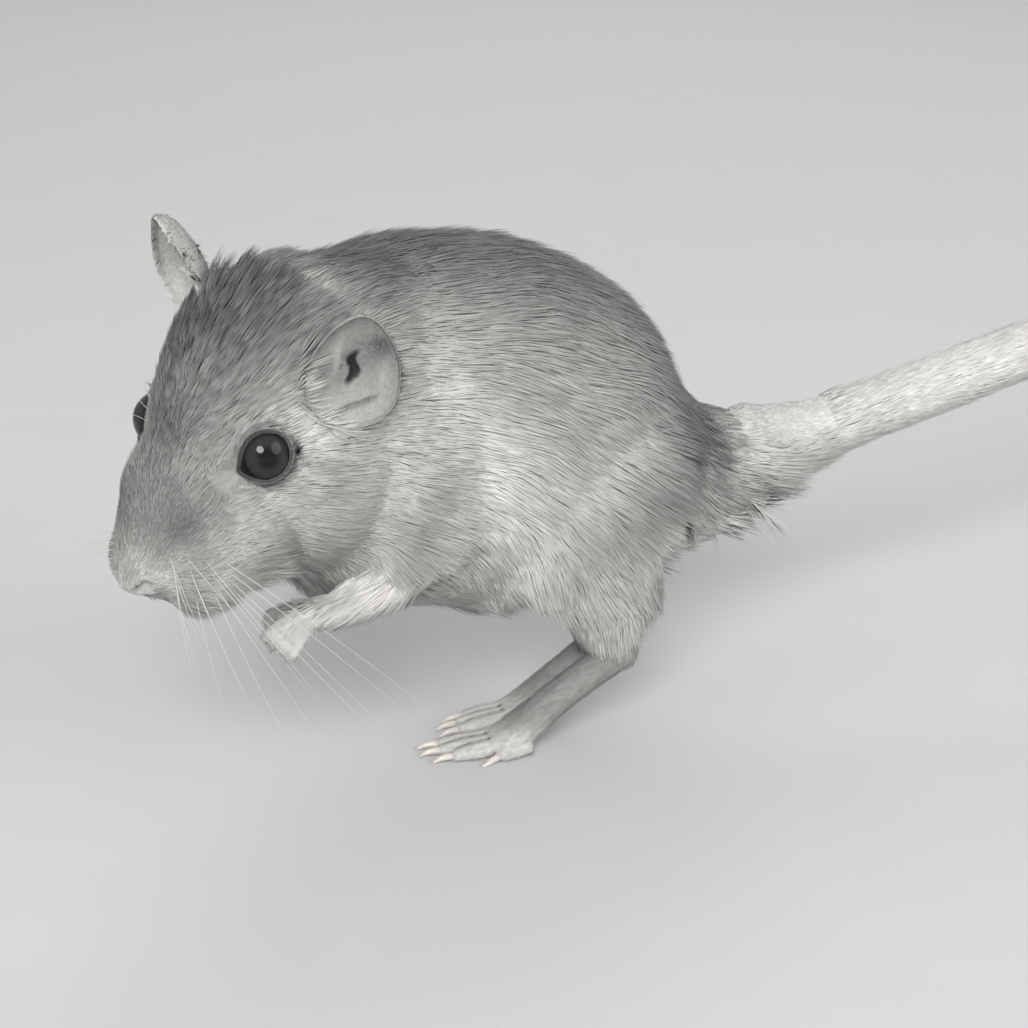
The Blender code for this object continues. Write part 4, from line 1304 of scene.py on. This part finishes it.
def finish_of(name, scale, amount, bump=0.0, colour=None, **values):
    """A material of painted or plain colour, mottled, with fine bump where it is asked for."""
    made, shader = principled(name, **values)
    nodes_, link = made.node_tree.nodes, made.node_tree.links.new
    spots = nodes_.new("ShaderNodeGroup")
    spots.node_tree = mottle
    spots.inputs["Scale"].default_value = scale
    spots.inputs["Amount"].default_value = amount
    if colour is None:
        tone = nodes_.new("ShaderNodeVertexColor")
        tone.layer_name = "tone"
        link(tone.outputs["Color"], spots.inputs["Colour"])
    else:
        spots.inputs["Colour"].default_value = (*colour, 1)
    link(spots.outputs["Colour"], shader.inputs["Base Color"])
    if bump:
        rough = nodes_.new("ShaderNodeBump")
        rough.inputs["Strength"].default_value = bump
        rough.inputs["Distance"].default_value = 0.0002
        link(spots.outputs["Height"], rough.inputs["Height"])
        link(rough.outputs["Normal"], shader.inputs["Normal"])
    return made


coat_material = finish_of("coat hair", 700, 0.22, Roughness=0.8, Specular_IOR_Level=0.25)
skin_material = finish_of("skin under the coat", 900, 0.3, 0.5, Roughness=0.8, Specular_IOR_Level=0.2)
bare_material = finish_of("thinly haired skin", 1400, 0.25, 0.7, Roughness=0.6, Specular_IOR_Level=0.3)
claw_material = finish_of("horn of the claws", 500, 0.3, 0.2, colour=(0.50, 0.47, 0.43), Roughness=0.35)
whisker_material = finish_of("whisker", 300, 0.2, colour=(0.50, 0.49, 0.47), Roughness=0.4)
for name, material in (("skin", skin_material), ("feet", bare_material), ("ears", bare_material)):
    pieces_of_skin[name].data.materials.append(material)

# %% [markdown]
# ## The coat in pieces
# Tufts are sorted by region and from front to back, and joined into pieces that stay under 200,000 triangles.

# %% Coat pieces
regions = np.full(count, "coat_torso", dtype="U24")
REGION_OF = {
    "head": "coat_head",
    "neck": "coat_neck",
    "ear": "coat_ears",
    "fore": "coat_limbs",
    "hind_foot": "coat_limbs",
    "hind_leg": "coat_thighs",
    "tail": "coat_tail",
}
for start_word, region in REGION_OF.items():
    regions[np.char.startswith(names, start_word)] = region
coat_pieces = []
for region in sorted(set(regions)):
    chosen = np.flatnonzero(regions == region)
    order = chosen[np.argsort(roots[chosen, 0])]
    pieces_needed = math.ceil(len(order) / PIECE_TUFTS)
    for part, pick in enumerate(np.array_split(order, pieces_needed)):
        name = region if pieces_needed == 1 else f"{region}_{part + 1}"
        coat_pieces.append(coat_piece(name, pick, coat_material))
        print(name, len(pick), "tufts")

# %% [markdown]
# ## Eyes
# Each eye is a dark glossy ball with a slightly raised cornea. A dark brown iris shows round the pupil only
# in strong light, so its tone differs little from the pupil's.

# %% Eyes
eye_material = finish_of("eye", 500, 0.4, Roughness=0.05, IOR=1.3)
eyes = []
for side, word in ((LEFT, "left"), (RIGHT, "right")):
    p, f = ball(eye_centres[side], EYE_RADIUS, 48, 64)
    away = p - eye_centres[side]
    look = eye_looks[side]
    angle = np.degrees(np.arccos(np.clip(unit(away) @ look, -1, 1)))
    p = eye_centres[side] + away * (1 + 0.03 * np.exp(-((angle / 30) ** 2)))[:, None]
    eye = mesh_object(f"eyeball_{word}", p, f)
    paint(eye, 0.006 + 0.016 * smoothstep(14, 26, angle) * smoothstep(46, 36, angle))
    eye.data.materials.append(eye_material)
    eyes.append(eye)
print("eyes:", len(eyes))

# %% [markdown]
# ## Whiskers
# Whiskers leave the pads in rows and sweep ahead, out and down. A Geometry Nodes tree turns their lines into
# tapered tubes, which keeps their number and thickness easy to change.

# %% Whisker lines
# Where the foremost, uppermost whisker of the near pad shows in the picture.
PAD_SEEN = (170, 557)


def seen_way(right, top, near_by):
    """A direction from parts to the picture's right, to its top and towards the camera."""
    return TO_RIGHT * right + TO_TOP * top + TO_CAMERA * near_by


def hair_line(root, way, size, droop, steps=9):
    """A line that starts at the root and bends down and back along its length."""
    t = np.linspace(0, 1, steps)[:, None]
    return root + unit(way) * size * t + np.array(droop) * size * t**2


def whisker_lines():
    rng = np.random.default_rng(SEED + 5)
    lines = []
    first_x, first_y = PAD_SEEN
    for row in range(4):
        for column in range(4):
            t = column / 3
            near_root = seen_at(first_x + 17 * column + 2 * row, first_y + 8 * row + column)
            angle = math.radians(-78 + 36 * t + 7 * (1.5 - row) + rng.normal(0, 4))
            size = (9.0 + 14.0 * t) * rng.uniform(0.8, 1.1)
            way = seen_way(math.cos(angle), math.sin(angle), 0.10)
            lines.append(hair_line(near_root, way, size, (0.10, 0, -0.16)))
            far_root = on_skin(to_head(near_root[None])[0] * (1, -1, 1))
            angle = math.radians(176 + 9 * (row - 1.2) + 8 * t + rng.normal(0, 3))
            size = (9.0 + 6.5 * t) * rng.uniform(0.8, 1.1)
            way = seen_way(math.cos(angle), math.sin(angle), -0.35)
            lines.append(hair_line(far_root, way, size, (0.05, 0, -0.06)))
    for side in (LEFT, RIGHT):
        for k in range(3):
            brow = on_skin((3.5 - 1.2 * k, side * 5.6, 4.2))
            way = np.array([0.35 - 0.35 * k, side * 0.45, 0.9]) @ HEAD
            lines.append(hair_line(brow, way, 5.5 + 1.5 * k, (0.05, 0, -0.15)))
            chin = on_skin((9.0 - 2.0 * k, side * 1.8, -14.5))
            lines.append(hair_line(chin, np.array([0.1, side * 0.3, -1.0]) @ HEAD, 3.5, (0.1, 0, 0)))
    return lines


whisker_sets = whisker_lines()
print("whiskers:", len(whisker_sets))

# %% [markdown]
# ## From lines to tapered hairs
# The tree's inputs are the lines, the radius at the root and the material. It sweeps a small ring along each
# line, thinner towards the tip. The result is a plain mesh, and the modifier goes.

# %% Whisker tree
def whisker_tree(sides):
    """Geometry Nodes: lines become tubes that taper to their tips."""
    tree = bpy.data.node_groups.new("tapered hairs", "GeometryNodeTree")
    tree.interface.new_socket("Geometry", in_out="INPUT", socket_type="NodeSocketGeometry")
    tree.interface.new_socket("Radius", in_out="INPUT", socket_type="NodeSocketFloat")
    tree.interface.new_socket("Material", in_out="INPUT", socket_type="NodeSocketMaterial")
    tree.interface.new_socket("Geometry", in_out="OUTPUT", socket_type="NodeSocketGeometry")
    make = tree.nodes.new
    start, end = make("NodeGroupInput"), make("NodeGroupOutput")
    line = make("GeometryNodeMeshToCurve")
    parameter = make("GeometryNodeSplineParameter")
    taper = make("ShaderNodeMapRange")
    taper.inputs["To Min"].default_value = 1.0
    taper.inputs["To Max"].default_value = 0.12
    profile = make("GeometryNodeCurvePrimitiveCircle")
    profile.inputs["Resolution"].default_value = sides
    sweep = make("GeometryNodeCurveToMesh")
    sweep.inputs["Fill Caps"].default_value = True
    paint = make("GeometryNodeSetMaterial")
    join = tree.links.new
    join(start.outputs["Geometry"], line.inputs["Mesh"])
    join(parameter.outputs["Factor"], taper.inputs["Value"])
    join(line.outputs["Curve"], sweep.inputs["Curve"])
    join(start.outputs["Radius"], profile.inputs["Radius"])
    join(profile.outputs["Curve"], sweep.inputs["Profile Curve"])
    join(taper.outputs["Result"], sweep.inputs["Scale"])
    join(sweep.outputs["Mesh"], paint.inputs["Geometry"])
    join(start.outputs["Material"], paint.inputs["Material"])
    join(paint.outputs["Geometry"], end.inputs["Geometry"])
    return tree


def hairs_from_lines(name, lines, radius, material, sides=5):
    """One plain mesh of tapered tubes along the lines."""
    points = np.concatenate(lines)
    mesh = bpy.data.meshes.new(name)
    edges, start = [], 0
    for line in lines:
        edges += [(start + i, start + i + 1) for i in range(len(line) - 1)]
        start += len(line)
    mesh.from_pydata(to_metres(points).tolist(), edges, [])
    obj = bpy.data.objects.new(name, mesh)
    bpy.context.scene.collection.objects.link(obj)
    tree = whisker_tree(sides)
    modifier = obj.modifiers.new("hairs", "NODES")
    modifier.node_group = tree
    for item in tree.interface.items_tree:
        if item.in_out == "INPUT" and item.name == "Radius":
            modifier[item.identifier] = radius * 0.001
        if item.in_out == "INPUT" and item.name == "Material":
            modifier[item.identifier] = material
    freeze(obj)
    obj.data.shade_smooth()
    return obj


WHISKER_RADIUS = 0.042
whiskers = hairs_from_lines("whiskers", whisker_sets, WHISKER_RADIUS, whisker_material)
print("whisker mesh:", len(whiskers.data.polygons), "faces")

# %% [markdown]
# ## Claws
# Claws are pale, narrow and slightly curved. They stand on the toes of the solids, so their places come from
# the same few sizes: a heel, a ball and a row of toes for each foot, and knuckles for each hand.

# %% Claw lines
# Each toe's place across the foot, its reach, and how far back it starts.
TOES_OF_FOOT = ((-2.3, 6.0, 1.8), (-1.5, 10.8, 0), (0.0, 10.8, 0), (1.5, 9.6, 0), (2.6, 6.2, 2.0))
SOLE = 27.0
# Stations along a claw, and its radius there.
CLAW_STEPS = 9
CLAW_SHAPE = ((0, 0.5, 0.85, 1), (0.52, 0.42, 0.22, 0.06))


def foot_toes(side):
    """Tip and direction of each toe of a hind foot."""
    heel = ANKLES[side] + (1.3, 0, -0.6)
    level = math.sqrt(SOLE**2 - heel[2] ** 2)
    ahead = unit(np.array([-1, -0.04 * side, 0]))
    aside = np.array([0, side, 0])
    front_pad = heel + ahead * level * 0.58
    found = []
    for place, reach, set_back in TOES_OF_FOOT:
        root = front_pad + aside * place * 0.8 - ahead * set_back
        knuckle = root + ahead * reach * 0.5 + aside * place * 0.25
        tip = root + ahead * (reach - 2.2) + aside * place * 0.4
        knuckle[2], tip[2] = 0.9, 0.6
        found.append((tip, unit(tip - knuckle), 1.15, 2.8))
    return found


def hand_fingers(side):
    """Tip and direction of each finger of a hand."""
    ahead, palm = PAWS[side]
    ahead = np.asarray(ahead)
    down = unit(palm - ahead * (palm @ ahead))
    aside = unit(np.cross(ahead, down))
    knuckles = WRISTS[side] + ahead * 3.2
    found = []
    for place in (-1.5, -0.5, 0.5, 1.5):
        root = knuckles + aside * place * 0.95
        bend = root + ahead * 1.7 + down * 0.2 + aside * place * 0.2
        tip = bend + down * 1.3 + ahead * 0.7
        found.append((tip, unit(tip - bend), 0.75, 1.3))
    return found


claw_parts = []
for side in (LEFT, RIGHT):
    for tip, out_way, thick, long in foot_toes(side) + hand_fingers(side):
        bed = tip - out_way * thick * 0.6
        bow = tip + out_way * long * 0.55 + (0, 0, 0.25)
        point = tip + out_way * (long + 0.1) - (0, 0, 0.2)
        path = curve_through([bed, bow, point], CLAW_STEPS)
        path[:, 2] = np.maximum(path[:, 2], 0.12)
        claw_parts.append(tube(path, np.interp(np.linspace(0, 1, CLAW_STEPS), *CLAW_SHAPE), 10))
claw_points, claw_faces = joined(claw_parts)
claw_points[:, 2] = np.maximum(claw_points[:, 2], 0.03)
claws = mesh_object("claws", claw_points, claw_faces)
claws.data.materials.append(claw_material)
print("claws:", len(claw_parts))

# %% [markdown]
# ## Hand the pieces to the frame
# The skin stands for all solids of flesh, the feet and ears for theirs, and the eyeballs for the solid eyes.

# %% Pieces and the solids they stand for
skin, feet, ears = (pieces_of_skin[name] for name in ("skin", "feet", "ears"))
bare_nodes = [n for n in nodes if n.startswith(("hind_foot", "forepaw"))]
ear_nodes = [n for n in nodes if n.startswith("ear_")]
flesh_nodes = [n for n in nodes if not n.startswith("eye_") and n not in bare_nodes + ear_nodes]
skins = ((skin, flesh_nodes, "coat"), (feet, bare_nodes, "bare_skin"), (ears, ear_nodes, "bare_skin"))
for piece, stands_for, slot in skins:
    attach(piece, "root")
    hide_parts(*stands_for)
for piece in [*coat_pieces, whiskers]:
    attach(piece, "root")
for eye, word in zip(eyes, ("left", "right")):
    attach(eye, "root")
    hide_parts(f"eye_{word}")
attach(claws, "root")
print("pieces:", len(skins) + len(coat_pieces) + len(eyes) + 2)

# %% [markdown]
# ## Floor, light and camera
# A plain pale floor and soft light. The main light is large and stands near the camera, because the coat
# shows its lie best in broad frontal light.

# %% Stage
FLOOR_HALF = 4000
floor_corners = np.array([(-1, -1, 0), (1, -1, 0), (1, 1, 0), (-1, 1, 0)]) * FLOOR_HALF
floor = mesh_object("floor", floor_corners + SHIFT * (1, 1, 0), [(0, 1, 2, 3)], smooth=False)
floor_material = finish_of("pale floor", 60, 0.04, colour=(0.48, 0.48, 0.48), Roughness=0.8)
floor.data.materials.append(floor_material)


def area_light(name, place, target, size, power):
    data = bpy.data.lights.new(name, "AREA")
    data.shape = "DISK"
    data.size = size
    data.energy = power
    lamp = bpy.data.objects.new(name, data)
    bpy.context.scene.collection.objects.link(lamp)
    lamp.location = place
    lamp.rotation_euler = (Vector(target) - Vector(place)).to_track_quat("-Z", "Y").to_euler()
    return lamp


TARGET = (-0.03, -0.005, 0.04)
area_light("key", (-0.42, -1.05, 0.72), TARGET, 0.6, 18.0)
area_light("fill", (0.95, -0.75, 0.60), TARGET, 1.0, 7.0)
area_light("rim", (0.30, 1.10, 1.00), TARGET, 0.8, 5.0)
world = bpy.data.worlds.new("studio")
world.use_nodes = True
world.node_tree.nodes["Background"].inputs["Color"].default_value = (1, 1, 1, 1)
world.node_tree.nodes["Background"].inputs["Strength"].default_value = 0.60
bpy.context.scene.world = world
bpy.context.scene.view_settings.view_transform = "Standard"

camera_data = bpy.data.cameras.new("camera")
camera_data.lens = camera_data.sensor_width / 2 / math.tan(HALF_VIEW)
camera = bpy.data.objects.new("camera", camera_data)
bpy.context.scene.collection.objects.link(camera)
camera.location = to_metres(VIEWPOINT)
camera.rotation_euler = Vector(-TO_CAMERA).to_track_quat("-Z", "Y").to_euler()
camera_data.clip_start = 0.01
bpy.context.scene.camera = camera
print("camera lens:", round(camera_data.lens, 1), "mm")
